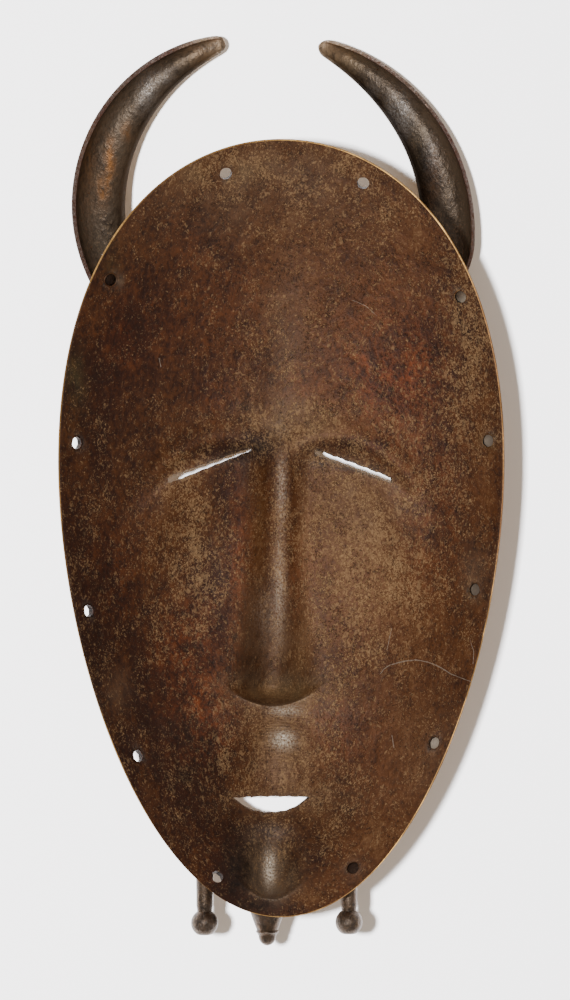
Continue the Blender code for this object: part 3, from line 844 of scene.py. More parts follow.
grain = {"density": 26000.0, "size": 0.00034, "smallToLarge": (0.35, 1.15), "flatness": 0.5, "seed": 5,
         "floorGap": 0.0015, "rimGap": 0.001, "outsideShare": 0.25}
burrs = {"thickness": 0.00032, "spread": 1.02, "sunk": 0.3, "unevenness": 0.0007, "seed": 8}
marks = {   # pixels of the view along each line, and its half width
    "flash": (((472, 682), (461, 678), (451, 674), (440, 667), (428, 662), (416, 660), (405, 661),
               (397, 663), (390, 665), (384, 669), (380, 674)), 0.00026),
    "scratch": (((392, 628), (389, 640), (387, 650)), 0.00016),
    "shortScratch": (((159, 358), (161, 367)), 0.00020),
    "cheekScratch": (((470, 640), (474, 652), (473, 664)), 0.00014),
    "browScratch": (((352, 300), (366, 306), (377, 316)), 0.00012),
    "jawScratch": (((392, 735), (394, 748)), 0.00022),
    # brushed scratches on the philtrum, which also paint its highlight; the glint lines paint highlights on
    # the bridge and the nose tip
    "brushed": (((270, 707), (284, 709), (299, 706)), 0.00016),
    "brushedAgain": (((268, 713), (281, 715), (296, 713)), 0.00014),
    "brushedLow": (((274, 731), (284, 733), (295, 731)), 0.00018),
    "brushedBright": (((271, 738), (282, 740), (293, 738)), 0.00022),
    "brushedLast": (((275, 745), (285, 746), (294, 744)), 0.00016),
    "bridgeGlint": (((279, 474), (280, 483), (279, 492)), 0.00018),
    "bridgeGlintLow": (((278, 540), (279, 548), (278, 555)), 0.00020),
    "tipGlint": (((276, 588), (277, 598), (276, 612)), 0.00020),
}


def regionShare(data, *names):   # share of the faces round each point that belong to these regions
    faceRegion = np.zeros(len(data.polygons), dtype=np.int32)
    data.polygons.foreach_get("material_index", faceRegion)
    sizes = np.zeros(len(data.polygons), dtype=np.int32)
    data.polygons.foreach_get("loop_total", sizes)
    corners = np.zeros(len(data.loops), dtype=np.int32)
    data.loops.foreach_get("vertex_index", corners)
    chosen = np.repeat(np.isin(faceRegion, [regions[name] for name in names]).astype(float), sizes)
    points = len(data.vertices)
    return np.bincount(corners, chosen, points) / np.maximum(np.bincount(corners, minlength=points), 1)


def pointVectors(data, name="co"):
    vectors = np.zeros(len(data.vertices) * 3)
    data.vertices.foreach_get(name, vectors)
    return vectors.reshape(-1, 3)


def keepValues(data, name, values):
    attribute = data.attributes.get(name) or data.attributes.new(name, "FLOAT", "POINT")
    attribute.data.foreach_set("value", np.ascontiguousarray(values, dtype=np.float32))


def neighbourMean(data, values):   # the mean over each point's neighbours
    ends = np.zeros(len(data.edges) * 2, dtype=np.int32)
    data.edges.foreach_get("vertices", ends)
    first, second = ends.reshape(-1, 2).T
    points = len(data.vertices)
    count = np.bincount(first, minlength=points) + np.bincount(second, minlength=points)
    total = np.bincount(first, values[second], points) + np.bincount(second, values[first], points)
    return total / np.maximum(count, 1)


seams = {"reach": 3, "rounds": 8, "strength": 0.6, "rimGap": 0.0008, "frontGap": 0.0004}
hollowness = {"spacing": 0.0011, "radius": 0.002, "rounds": 3, "limit": 2}


def softenSeams(data):   # the wax was smoothed where horns, legs and beard join the face
    added = regionShare(data, "horn", "leg", "beard")
    near = ((added > 0.01) & (added < 0.99)).astype(float)
    for _ in range(seams["reach"]):
        near = np.maximum(near, neighbourMean(data, near) > 0.01)
    places = pointVectors(data)
    near *= places[:, 2] < -seams["rimGap"]
    near *= places[:, 2] > seams["frontGap"] - face["depth"]
    for _ in range(seams["rounds"]):
        for axis in range(3):
            mean = neighbourMean(data, places[:, axis].copy())
            places[:, axis] += (mean - places[:, axis]) * seams["strength"] * near
    data.vertices.foreach_set("co", places.ravel())
    data.update()


def markRim(data):
    for polygon in data.polygons:
        if polygon.normal.z > face["rimSlope"] and polygon.center.z > -face["rimDepth"]:
            polygon.material_index = regions["rim"]


def keepHollowness(data):   # above 0 in grooves and below 0 on ridges, about 1 at a radius of 2 mm
    places, normals = pointVectors(data), pointVectors(data, "normal")
    bend = np.zeros(len(places))
    for axis in range(3):
        bend += (neighbourMean(data, places[:, axis].copy()) - places[:, axis]) * normals[:, axis]
    unit = hollowness["spacing"] ** 2 / 4 / hollowness["radius"]
    bend = np.clip(bend / unit, -hollowness["limit"], hollowness["limit"])
    for _ in range(hollowness["rounds"]):
        bend = 0.5 * bend + 0.5 * neighbourMean(data, bend)
    keepValues(data, "hollowness", bend)


def castGrain():   # small round beads left by bubbles in the mould
    tree, given, made = shapeTree("castGrain", Surface="Geometry", Density=20000.0, Size=0.0003,
                                  Flatness=0.5, Seed=1)
    spots = addNode(tree, "GeometryNodeDistributePointsOnFaces",
                    {"Mesh": given["Surface"], "Density": given["Density"] * namedValue(tree, "grainShare"),
                     "Seed": given["Seed"]})
    bead = addWire(tree, "GeometryNodeMeshIcoSphere", {"Radius": given["Size"], "Subdivisions": 1})
    low = addWire(tree, "ShaderNodeCombineXYZ", {0: 1.0, 1: 1.0, 2: given["Flatness"]})
    small = chanceBetween(given["Seed"], *grain["smallToLarge"])
    placed = addWire(tree, "GeometryNodeInstanceOnPoints",
                     {"Points": Wire(tree, spots.outputs["Points"]), "Instance": bead,
                      "Rotation": Wire(tree, spots.outputs["Rotation"]), "Scale": low.scaled(small)})
    finishTree(placed, given, made)
    beads = newObject("castGrain", mask.data.copy())
    places = pointVectors(beads.data)
    share = grain["outsideShare"] * regionShare(beads.data, "front", "horn")
    share += regionShare(beads.data, "hollow")
    share *= (places[:, 2] > grain["floorGap"] - face["depth"]) & (places[:, 2] < -grain["rimGap"])
    keepValues(beads.data, "grainShare", share)
    return growPiece(beads, tree, "grain", Density=grain["density"], Size=grain["size"],
                     Flatness=grain["flatness"], Seed=grain["seed"])


def holeBurrs():   # the raised lip that the punch left round each lacing hole
    tree, given, made = shapeTree("holeBurrs", Points="Geometry", Diameter=0.005, Thickness=0.0003,
                                  Unevenness=0.0003, Seed=1)
    ring = circle(tree, 26, given["Diameter"] * 0.5)
    real = addWire(tree, "GeometryNodeRealizeInstances", {"Geometry": placedOnWall(given["Points"], ring)})
    shaken = shakenPosition(real, given, 0.0016)
    tube = addWire(tree, "GeometryNodeCurveToMesh", {"Curve": shaken,
                                                     "Profile Curve": circle(tree, 6, given["Thickness"])})
    finishTree(tube, given, made)
    rings = pointCloud("holeBurrs", *lacingPlaces(face["wall"] / 2 - burrs["thickness"] * burrs["sunk"]))
    return growPiece(rings, tree, "grain", Diameter=lacing["diameter"] * burrs["spread"],
                     Thickness=burrs["thickness"], Unevenness=burrs["unevenness"], Seed=burrs["seed"])


def surfaceMarks():   # the casting flash on the cheek and a few scratches, drawn on the hollow, and short lines on the philtrum, the bridge and the nose tip that paint its glints
    tree, given, made = shapeTree("surfaceMarks", Lines="Geometry", Surface="Object", Spacing=0.0005,
                                  Unevenness=0.0004, Seed=1)
    curve = addWire(tree, "GeometryNodeMeshToCurve", {"Mesh": given["Lines"]})
    fine = addWire(tree, "GeometryNodeResampleCurve", {"Curve": curve, "Length": given["Spacing"]},
                   mode="LENGTH")
    shaken = shakenPosition(fine, given, 0.0020)
    surface = addWire(tree, "GeometryNodeObjectInfo", {"Object": given["Surface"]}, "Geometry")
    nearest = addWire(tree, "GeometryNodeProximity", {0: surface}, target_element="FACES")
    snapped = addWire(tree, "GeometryNodeSetPosition", {"Geometry": shaken, "Position": nearest})
    radius = namedValue(tree, "halfWidth") * chanceBetween(given["Seed"], 0.45, 1.35)
    sized = addWire(tree, "GeometryNodeSetCurveRadius", {"Curve": snapped, "Radius": radius})
    tube = addWire(tree, "GeometryNodeCurveToMesh", {"Curve": sized, "Profile Curve": circle(tree, 6, 1.0),
                                                     "Scale": radius, "Fill Caps": True})
    finishTree(tube, given, made)
    points, edges, widths = [], [], []
    for pixels, widest in marks.values():
        for index, pixel in enumerate(pixels):
            if index:
                edges.append((len(points) - 1, len(points)))
            points.append(tuple(fromView(*pixel)))
            taper = math.sin(math.pi * (index + 0.35) / (len(pixels) - 0.3))
            widths.append(widest * (0.45 + 0.55 * taper))
    data = bpy.data.meshes.new("surfaceMarks")
    data.from_pydata(points, edges, [])
    keepValues(data, "halfWidth", widths)
    return growPiece(newObject("surfaceMarks", data), tree, "line", Surface=mask, Seed=4)


def joinDressing(pieces):
    mesh = bmesh.new()
    for piece in [mask] + pieces:
        mesh.from_mesh(piece.data)
    mesh.to_mesh(mask.data)
    mesh.free()
    for piece in pieces:
        bpy.data.objects.remove(piece)


markRim(mask.data)
softenSeams(mask.data)
keepHollowness(mask.data)
extras = [castGrain(), holeBurrs(), surfaceMarks(), dirtPlugs()]
print("grain, burrs and marks:", [len(piece.data.polygons) for piece in extras])
joinDressing(extras)
mask.data.transform(Matrix.Translation(faceOrigin))
mask.data.shade_smooth()
mask.data.set_sharp_from_angle(angle=math.radians(42))

# Colour changes over the surface, stains and painted light and shade: pixel of the view, reach in pixels
# across and along, and strength
stainsAndPaintedLight = {
    "dust": (
        (268, 862, 26, 40, 0.18), (287, 740, 50, 50, 0.2), (283, 735, 18, 20, -0.2),
        (281, 560, 12, 90, 0.2), (360, 560, 70, 120, 0.34), (190, 560, 40, 90, 0.34),
        (270, 430, 60, 30, 0.3), (290, 330, 90, 60, 0.1), (470, 330, 30, 110, 0.34),
        (225, 170, 70, 34, 0.22), (340, 190, 80, 60, 0.2), (80, 560, 40, 140, 0.1),
        (420, 440, 60, 60, 0.12), (230, 740, 60, 50, 0.14), (330, 800, 60, 50, 0.16),
        (200, 800, 60, 60, 0.08), (185, 475, 20, 20, 0.25), (100, 300, 40, 80, -0.06),
        (170, 380, 50, 60, -0.08), (420, 560, 40, 60, 0.1),
    ),
    # tones of the patina, and painted light and shade: lighter walls of the nose and the chin valley,
    # lighter bands on the horns, darker brow crescents, slit underlines, chin sides and chin end, and the
    # painted shadow of the rim on the right horn
    "toneAndShading": (
        (275, 830, 30, 8, -0.25), (218, 745, 14, 40, -0.2), (200, 575, 30, 20, -0.12),
        (255, 438, 14, 9, -0.3), (380, 385, 26, 22, -0.15), (285, 190, 40, 16, -0.12),
        (70, 430, 14, 36, 0.14), (100, 320, 12, 36, 0.1), (148, 780, 12, 36, 0.12),
        (270, 530, 10, 24, 0.12), (375, 492, 26, 12, 0.12), (270, 692, 26, 4, 0.3),
        (490, 490, 10, 26, 0.12), (110, 150, 40, 90, 0.16), (244, 868, 8, 22, -0.12),
        (260, 905, 24, 7, -0.45), (266, 925, 20, 20, -0.25), (205, 915, 12, 20, -0.15),
        (350, 915, 12, 20, -0.2), (270, 693, 26, 5, 0.5), (100, 90, 30, 40, 0.25), (88, 240, 12, 40, 0.25),
        (345, 445, 20, 5, -0.5), (330, 464, 22, 4, -0.5), (192, 715, 14, 40, -0.1), (362, 468, 30, 3, -0.5),
        (120, 170, 8, 60, 0.25), (150, 80, 40, 12, 0.16), (235, 872, 16, 36, -0.5), (258, 904, 22, 7, -0.3),
        (190, 750, 34, 80, -0.08), (216, 454, 38, 8, -0.3), (262, 449, 14, 10, -0.2),
        (262, 500, 8, 50, 0.2), (290, 170, 70, 26, -0.18), (76, 420, 14, 90, 0.14), (95, 320, 20, 30, 0.14),
        (115, 680, 14, 60, 0.16), (158, 810, 14, 44, 0.16), (487, 440, 12, 100, 0.14),
        (410, 735, 36, 44, 0.12), (372, 830, 16, 34, 0.16), (410, 235, 30, 34, 0.1),
        (430, 178, 13, 30, -0.5), (268, 858, 22, 28, -0.4), (248, 880, 10, 14, -0.2),
        (292, 878, 9, 14, -0.2), (130, 800, 60, 120, -0.05), (193, 715, 16, 60, -0.12),
        (300, 185, 50, 22, -0.12), (175, 325, 26, 20, -0.12), (215, 585, 24, 50, -0.14),
        (158, 620, 14, 40, -0.08), (385, 385, 34, 24, -0.14), (75, 410, 20, 40, 0.12),
        (92, 320, 14, 34, 0.12), (118, 690, 12, 44, 0.14), (146, 780, 10, 50, 0.18),
        (472, 470, 20, 60, 0.12), (412, 235, 20, 26, 0.14), (182, 190, 22, 16, 0.14),
        (274, 886, 12, 10, 0.8), (318, 880, 22, 16, 0.22), (376, 840, 10, 26, 0.24),
        (303, 812, 22, 26, 0.14), (400, 750, 34, 34, 0.1), (362, 688, 22, 14, 0.1),
        (208, 800, 24, 40, -0.12), (262, 448, 12, 8, -0.3), (500, 560, 8, 120, -0.2),
        (62, 550, 6, 60, -0.2), (464, 235, 9, 34, 0.6), (257, 560, 9, 90, 0.4), (304, 560, 9, 90, 0.4),
        (285, 320, 150, 120, -0.09), (195, 730, 40, 110, -0.16), (190, 610, 30, 60, -0.1),
        (246, 640, 12, 46, 0.5), (302, 650, 12, 42, 0.5), (275, 690, 40, 11, 0.5), (267, 866, 17, 26, 0.25),
        (312, 898, 20, 10, 0.4), (292, 760, 42, 50, 0.2), (400, 780, 34, 80, 0.18), (322, 820, 20, 30, 0.2),
        (285, 430, 60, 34, 0.3), (352, 520, 46, 90, 0.4), (281, 560, 9, 95, 0.35), (281, 735, 26, 26, 0.55),
        (282, 870, 14, 30, 0.25), (175, 490, 26, 30, 0.28), (168, 560, 40, 60, 0.14),
        (300, 250, 90, 130, 0.22), (225, 170, 60, 30, 0.24), (330, 170, 90, 34, 0.2),
        (272, 785, 40, 14, 0.25), (405, 620, 60, 80, 0.18), (80, 400, 42, 160, -0.3),
        (95, 640, 44, 110, -0.3), (150, 780, 44, 80, -0.3), (228, 860, 26, 40, -0.35),
        (245, 650, 16, 44, -0.4), (232, 480, 18, 70, -0.18), (250, 448, 20, 12, -0.4),
        (368, 450, 26, 10, -0.45), (312, 446, 16, 8, -0.3), (318, 860, 12, 34, -0.25),
        (448, 480, 26, 80, -0.12), (130, 330, 40, 60, -0.15), (420, 380, 40, 60, -0.12),
    ),
    # filed brass showing through the tarnish, and a painted highlight where the rim catches the lamp
    "brassAndGlint": (
        (420, 210, 90, 60, 1.2), (505, 400, 30, 120, 0.1), (500, 540, 20, 60, -0.5),
        (110, 245, 34, 40, 1.2), (330, 140, 90, 20, 0.8), (480, 640, 60, 140, 0.9), (400, 850, 70, 60, 0.9),
        (285, 915, 60, 14, 0.8), (62, 450, 14, 120, 0.35), (110, 740, 60, 120, 0.55),
        (200, 170, 60, 30, 0.25), (160, 850, 50, 50, 0.7),
    ),
    "ash": (
        (353, 869, 11, 11, 0.5), (120, 281, 4, 7, 0.8), (275, 884, 20, 14, 1.0),
        (118, 690, 14, 20, 0.4), (475, 570, 14, 30, 0.4), (250, 655, 12, 36, 0.3), (266, 862, 20, 26, 0.4),
        (275, 680, 50, 10, 0.5), (295, 790, 60, 40, 0.22), (288, 320, 24, 56, 0.22),
        (440, 760, 60, 60, 0.2), (235, 195, 130, 50, 0.3), (275, 640, 34, 60, 0.5), (283, 740, 26, 34, 0.5),
        (268, 868, 24, 34, 0.8), (285, 800, 60, 12, 0.3), (285, 420, 40, 34, 0.3), (362, 500, 44, 50, 0.35),
        (290, 160, 70, 30, 0.25), (283, 350, 16, 60, 0.2),
    ),
    "rust": (
        (236, 580, 8, 90, 0.8), (205, 725, 26, 34, 0.7), (190, 660, 30, 40, 0.4),
        (400, 375, 40, 40, 0.7), (215, 395, 24, 24, 0.4), (300, 590, 14, 60, 0.8), (248, 545, 12, 60, 0.5),
        (300, 385, 24, 18, 0.6), (215, 300, 60, 60, 0.35), (390, 350, 50, 70, 0.5),
        (430, 560, 50, 60, 0.35), (330, 730, 22, 40, 0.5), (200, 640, 30, 60, 0.4), (390, 440, 40, 30, 0.4),
        (185, 230, 26, 30, 0.4), (120, 560, 30, 60, 0.35), (380, 760, 40, 50, 0.4),
        (205, 905, 14, 40, 0.22), (348, 905, 14, 40, 0.22), (266, 925, 20, 22, 0.34),
        (200, 720, 34, 60, 0.4), (175, 650, 34, 44, 0.4), (120, 340, 44, 54, 0.4), (390, 370, 44, 40, 0.5),
        (430, 480, 34, 54, 0.4), (110, 160, 5, 20, 1.5), (103, 190, 6, 16, 1.1), (127, 132, 5, 9, 0.9),
        (432, 178, 7, 24, 0.7), (205, 50, 14, 8, 0.7), (332, 52, 10, 8, 0.6), (88, 150, 8, 60, 0.5),
    ),
    "green": (
        (488, 441, 8, 8, 0.8), (474, 591, 8, 8, 0.6), (75, 380, 10, 30, 0.8), (225, 172, 34, 10, 0.6),
        (285, 690, 44, 14, 0.7), (110, 260, 10, 22, 0.5), (348, 66, 14, 10, 0.5), (416, 150, 10, 18, 0.5),
        (290, 420, 40, 20, 0.3),
    ),
    # pale discs painted like the shaded floor in holes 7 and 10, and partly pale discs in holes 8 and 9 with
    # painted highlights on their lit left walls
    "paleFloorAndGlint": (
        (434, 743, 12, 12, 1.0), (466, 301, 8, 8, 0.8), (488, 441, 12, 12, 0.3), (481, 441, 4, 7, 0.4),
        (474, 591, 12, 12, 0.3), (467, 591, 4, 7, 0.4),
    ),
    "brushed": (
        (284, 735, 26, 36, 1.0), (272, 868, 14, 30, 0.5), (285, 800, 50, 8, 0.5),
        (275, 690, 40, 8, 0.5),
    ),
    # painted highlights: glints on the nose valley, the philtrum, the chin and the horns, in the colour of
    # bare metal
    "bareAndGlint": (
        (282, 490, 5, 34, 0.55), (280, 592, 6, 46, 0.6), (283, 740, 10, 7, 2.6),
        (285, 711, 15, 4, 1.0), (269, 870, 5, 16, 2.2), (390, 112, 5, 16, 0.8), (372, 92, 7, 8, 0.5),
        (165, 78, 8, 7, 0.5), (262, 612, 10, 24, 0.25), (148, 92, 9, 20, 0.9), (402, 118, 8, 24, 1.0),
        (432, 160, 7, 24, 0.6), (205, 48, 12, 5, 0.5),
    ),
}
cutShade = {"rightFrom": 300, "leftCutShade": 0.3, "holeShade": 1.8}   # a pixel of the view, and painted shade: on the cut walls, full to the right of this pixel and this share to its left, and this much on the walls of the lacing holes


def stainOrPaintedLightAt(kind, pixelX, pixelY):
    total = np.zeros_like(pixelX)
    for x, y, reachX, reachY, strength in stainsAndPaintedLight[kind]:
        total += strength * np.exp(-((pixelX - x) / reachX) ** 2 - ((pixelY - y) / reachY) ** 2)
    return total


def keepStainsAndPaintedLight(data):
    pixelX, pixelY = toView(pointVectors(data))
    hidden = regionShare(data, "front")
    cut = regionShare(data, "cut")
    right = pixelX > cutShade["rightFrom"]
    # painted shade on the cut walls of the slits and the mouth, darker on the right side
    sootAndShade = {"toneAndShading": cut * np.where(right, 1.0, cutShade["leftCutShade"])}
    for kind in stainsAndPaintedLight:
        keepValues(data, kind, stainOrPaintedLightAt(kind, pixelX, pixelY) * (1 - hidden) - sootAndShade.get(kind, 0))
    # painted shade on the walls of the lacing holes and on the cut walls on the right
    keepValues(data, "hole", cutShade["holeShade"] * regionShare(data, "hole") + right * cut)
    keepValues(data, "plug", regionShare(data, "plug"))
    # the flash, scratch and glint lines, lightened towards bare metal; on the glint lines this is a painted
    # highlight
    keepValues(data, "raised", regionShare(data, "line"))


keepStainsAndPaintedLight(mask.data)
print("stains placed")


def paint(red, green, blue):   # a colour as it is seen, 0 to 255
    return tuple((value / 255) ** 2.2 for value in (red, green, blue)) + (1,)


def mixPaint(share, first, second):
    return addWire(share.tree, "ShaderNodeMix", {0: share, 6: first, 7: second}, 2, data_type="RGBA")


def cloudyPatina():   # broad, soft patches of a patina
    tree, given, made = maskGroup("cloudyPatina", Size=0.01, Contrast=2.0, Seed=0.0)
    cloud = noise(given["Vector"], 1.0 / given["Size"], seed=given["Seed"], detail=5.0, roughness=0.62,
                  distortion=0.3)
    tree.links.new(((cloud - 0.5) * given["Contrast"] + 0.5).clamped().socket, made)
    return tree


speckle = {"drifts": 0.35, "share": 0.3, "level": 0.645, "sharpness": 11.0}


def dustSpeckle():   # crumbs of pale dust caught in the pitted skin, gathered in drifts
    tree, given, made = maskGroup("dustSpeckle", Size=0.001, Share=0.3, Drift=0.01, Seed=0.0)
    crumbs = noise(given["Vector"], 1.0 / given["Size"], seed=given["Seed"], detail=2.5, roughness=0.7,
                   distortion=0.9)
    drifts = noise(given["Vector"], 1.0 / given["Drift"], seed=given["Seed"], detail=3.0)
    level = crumbs + (drifts - 0.5) * speckle["drifts"] + given["Share"] * speckle["share"]
    tree.links.new(((level - speckle["level"]) * speckle["sharpness"]).clamped().socket, made)
    return tree


rubbing = {"ridges": 0.35, "ridgeGain": -0.8, "scale": 1500.0, "level": 0.38, "sharpness": 3.0}


def wearAndGlintMask():   # bare metal where ridges are rubbed and hands have polished, and painted highlights where the bare and glint marks are high
    tree, given, made = maskGroup("wearAndGlintMask", Hollowness=0.0, Bare=0.0, Strength=1.0)
    ridge = (given["Hollowness"] * rubbing["ridgeGain"]).clamped()
    broken = noise(given["Vector"], rubbing["scale"], detail=4.0, roughness=0.7) - rubbing["level"]
    broken = broken * rubbing["sharpness"]
    worn = (ridge * rubbing["ridges"] + given["Bare"]) * given["Strength"]
    tree.links.new((worn * broken.clamped()).clamped().socket, made)
    return tree


patinaTree = cloudyPatina()
dustTree = dustSpeckle()
wearAndGlintTree = wearAndGlintMask()


class Skin:   # a material whose colour is built up coat by coat from the paints of its own dictionary
    def __init__(self, name, finish, base):
        self.material = bpy.data.materials.new(name)
        self.material.use_nodes = True
        self.tree = self.material.node_tree
        self.finish = finish
        self.colour = paint(*finish[base])
        self.place = addWire(self.tree, "ShaderNodeTexCoord", output="Object").stretched((1.0, 0.75, 1.0))

    def mark(self, name):   # what the mask's mesh keeps at each point
        return addWire(self.tree, "ShaderNodeAttribute", output="Fac", attribute_name=name)

    def spread(self, group, *values):   # a group's mask, with its own values in the order of its inputs
        values = {"Vector": self.place, **dict(enumerate(values, 1))}
        return addWire(self.tree, "ShaderNodeGroup", values, node_tree=group)

    def coat(self, share, colour):
        if isinstance(colour, str):
            colour = paint(*self.finish[colour])
        self.colour = mixPaint(share, self.colour, colour)

    def finished(self, roughness, height):
        bump = addWire(self.tree, "ShaderNodeBump", {"Height": height, "Strength": 1.0, "Distance": 1.0})
        shader = self.tree.nodes["Principled BSDF"]
        for name, wire in (("Base Color", self.colour), ("Roughness", roughness), ("Normal", bump)):
            self.tree.links.new(wire.socket, shader.inputs[name])
        shader.inputs["Metallic"].default_value = self.finish["metallic"]
        shader.inputs["Specular IOR Level"].default_value = self.finish["gloss"]
        return self.material


bronze = {
    "maroon": (51, 26, 12), "brown": (90, 55, 28), "tan": (128, 94, 62), "dust": (175, 140, 100),
    "sootAndShade": (28, 17, 11), "rust": (126, 64, 30), "green": (84, 80, 52), "bareAndGlint": (222, 207, 188),
    "ash": (112, 96, 80), "metallic": 0.32, "gloss": 0.40, "toneLevel": 0.25, "dustLevel": 0.13,
    "patches": ((0.030, 2.2, 1.3), (0.007, 2.6, 4.1), (0.0016, 3.0, 7.7)),   # size, contrast and seed
    "patchTones": (0.34, 0.30, 0.45),
    "pits": (0.0008, 0.22, 0.009, 9.0),   # size, share, size of the drifts and seed
    "fineDust": (0.0006, 0.007, 2.0),     # size, size of the drifts and seed
    "crumbs": (0.0013, 0.005, 5.0),
    "strokes": {"stretch": (0.5, 3.4, 0.5), "scale": 640.0, "contrast": 4.0, "toneAndShading": 0.8},
    "heights": {"small": 0.00010, "middle": 0.00016, "dust": 0.00005, "pits": 0.00008, "strokes": 0.00013},
    "shares": {"brown": 2.0, "tan": 1.8, "rustPatches": 0.12, "green": 0.8, "ash": 0.8, "pits": 0.60,
               "crumbs": 0.6, "dust": 0.68, "wearAndGlint": 0.8, "raised": 0.30, "sootAndShade": -1.3, "hole": 0.95,
               "plug": 0.75},
    "roughness": 0.50, "dustRoughness": 0.16, "wearAndGlintRoughness": 0.16,
}


def patinatedBronze():
    skin = Skin("patinatedBronze", bronze, "maroon")
    broad, middle, small = (skin.spread(patinaTree, *patch) for patch in bronze["patches"])
    brushed, heights, shares = bronze["strokes"], bronze["heights"], bronze["shares"]
    strokes = noise(skin.place.stretched(brushed["stretch"]), brushed["scale"], detail=3.0, roughness=0.65)
    strokes = (strokes - 0.5) * brushed["contrast"] * skin.mark("brushed")
    toneAndShading = skin.mark("toneAndShading") + bronze["toneLevel"]
    for patch, share in zip((broad, middle, small), bronze["patchTones"]):
        toneAndShading = toneAndShading + (patch - 0.5) * share
    toneAndShading = toneAndShading + strokes * brushed["toneAndShading"]
    skin.coat((toneAndShading * shares["brown"]).clamped(), "brown")
    skin.coat(((toneAndShading - 0.5) * shares["tan"]).clamped(), "tan")
    skin.coat(((skin.mark("rust") * middle + broad * shares["rustPatches"]) * small).clamped(), "rust")
    skin.coat((skin.mark("green") * middle).clamped() * shares["green"], "green")
    skin.coat((skin.mark("ash") * (middle + 0.25)).clamped() * shares["ash"], "ash")
    pits = skin.spread(dustTree, *bronze["pits"])
    skin.coat(pits * shares["pits"], "sootAndShade")
    settled = skin.mark("dust") + bronze["dustLevel"]
    fine, crumbs = (skin.spread(dustTree, size, settled, drift, seed)
                    for size, drift, seed in (bronze["fineDust"], bronze["crumbs"]))
    dust = fine.atLeast(crumbs * shares["crumbs"])
    skin.coat(dust * shares["dust"], "dust")
    wearAndGlint = skin.spread(wearAndGlintTree, skin.mark("hollowness"), skin.mark("bareAndGlint"), shares["wearAndGlint"])
    # the drawn lines, lightened; on the glint lines a painted highlight
    wearAndGlint = wearAndGlint.atLeast(skin.mark("raised") * shares["raised"])
    skin.coat(wearAndGlint, "bareAndGlint")
    # dark patina and painted shade where the tone and shading run low, and painted shade in the holes and on
    # the cut walls
    sootAndShade = ((toneAndShading + 0.05) * shares["sootAndShade"]).clamped()
    skin.coat(sootAndShade.atLeast((skin.mark("hole") * shares["hole"]).clamped()), "sootAndShade")
    # the discs in the holes: dark painted shade, or pale like the shaded floor where the pale marks are high
    plug = mixPaint(skin.mark("paleFloorAndGlint"), paint(*bronze["sootAndShade"]), paint(*bronze["bareAndGlint"]))
    skin.coat(skin.mark("plug") * shares["plug"], plug)
    height = small * heights["small"] + middle * heights["middle"] + dust * heights["dust"]
    height = height - pits * heights["pits"] + strokes * heights["strokes"]
    roughness = dust * bronze["dustRoughness"] + bronze["roughness"] - wearAndGlint * bronze["wearAndGlintRoughness"]
    return skin.finished(roughness, height)


horn = {
    "dark": (46, 36, 29), "grey": (100, 87, 74), "lip": (92, 54, 38), "wall": (120, 102, 84),
    "sootAndShade": (26, 20, 17), "tan": (140, 116, 90), "rust": (142, 96, 54), "bareAndGlint": (186, 182, 180),
    "green": (92, 90, 70), "metallic": 0.55, "gloss": 0.50,
    "patches": ((0.012, 2.4, 3.0), (0.0020, 3.0, 6.0)),   # size, contrast and seed
    "crumbs": (0.0007, 0.30, 0.007, 3.0),                 # size, share, size of the drifts and seed
    "heights": {"small": 0.00016, "broad": 0.00025},
    "tones": {"broad": 0.55, "small": 0.65, "sideLight": 0.32, "creaseShade": 0.40},
    "shares": {"wall": 0.80, "wallSideLight": 0.6, "wallTone": 0.35, "crumbs": 0.50, "lip": 0.3, "tip": 0.2,
               "green": 0.6, "edge": 0.9, "wearAndGlint": 0.7, "sootAndShade": -1.6},
    "roughness": 0.31, "wearAndGlintRoughness": 0.08, "patchRoughness": 0.10,
}


def darkBronze():
    skin = Skin("darkBronze", horn, "dark")
    broad, small = (skin.spread(patinaTree, *patch) for patch in horn["patches"])
    sideLight = skin.mark("sideLight")
    tones, shares = horn["tones"], horn["shares"]
    # painted light on the lit side of the horns, and painted shade in the creases inside the lips
    toneAndShading = broad * tones["broad"] + small * tones["small"] + sideLight * tones["sideLight"]
    toneAndShading = (toneAndShading - skin.mark("creaseShade") * tones["creaseShade"] + skin.mark("toneAndShading")).clamped()
    skin.coat(toneAndShading, "grey")
    # painted light: the steep trough walls, which the lamps leave dark, are lightened towards the wall
    # colour, more on the lit side
    wall = (1.0 - skin.mark("trough")) * (sideLight * shares["wallSideLight"] + shares["wall"])
    skin.coat((wall * (toneAndShading + shares["wallTone"])).clamped(), "wall")
    skin.coat(skin.spread(dustTree, *horn["crumbs"]) * shares["crumbs"], "tan")
    skin.coat((skin.mark("lip") * (broad + shares["lip"])).clamped(), "lip")
    skin.coat((skin.mark("rust") * small).clamped(), "rust")
    skin.coat((skin.mark("tipWear") * (small + shares["tip"])).clamped(), "tan")
    skin.coat((skin.mark("green") * broad).clamped() * shares["green"], "green")
    # painted highlight glints along the lips, added to the bare and glint marks
    bareAndGlint = skin.mark("bareAndGlint") + skin.mark("edge") * shares["edge"]
    wearAndGlint = skin.spread(wearAndGlintTree, skin.mark("hollowness"), bareAndGlint, shares["wearAndGlint"])
    skin.coat(wearAndGlint, "bareAndGlint")
    # painted shade where the tone and shading are below zero: the painted shadow of the rim on the right
    # horn
    skin.coat((skin.mark("toneAndShading") * shares["sootAndShade"]).clamped(), "sootAndShade")
    height = small * horn["heights"]["small"] + broad * horn["heights"]["broad"]
    roughness = horn["roughness"] - wearAndGlint * horn["wearAndGlintRoughness"] + small * horn["patchRoughness"]
    return skin.finished(roughness, height)


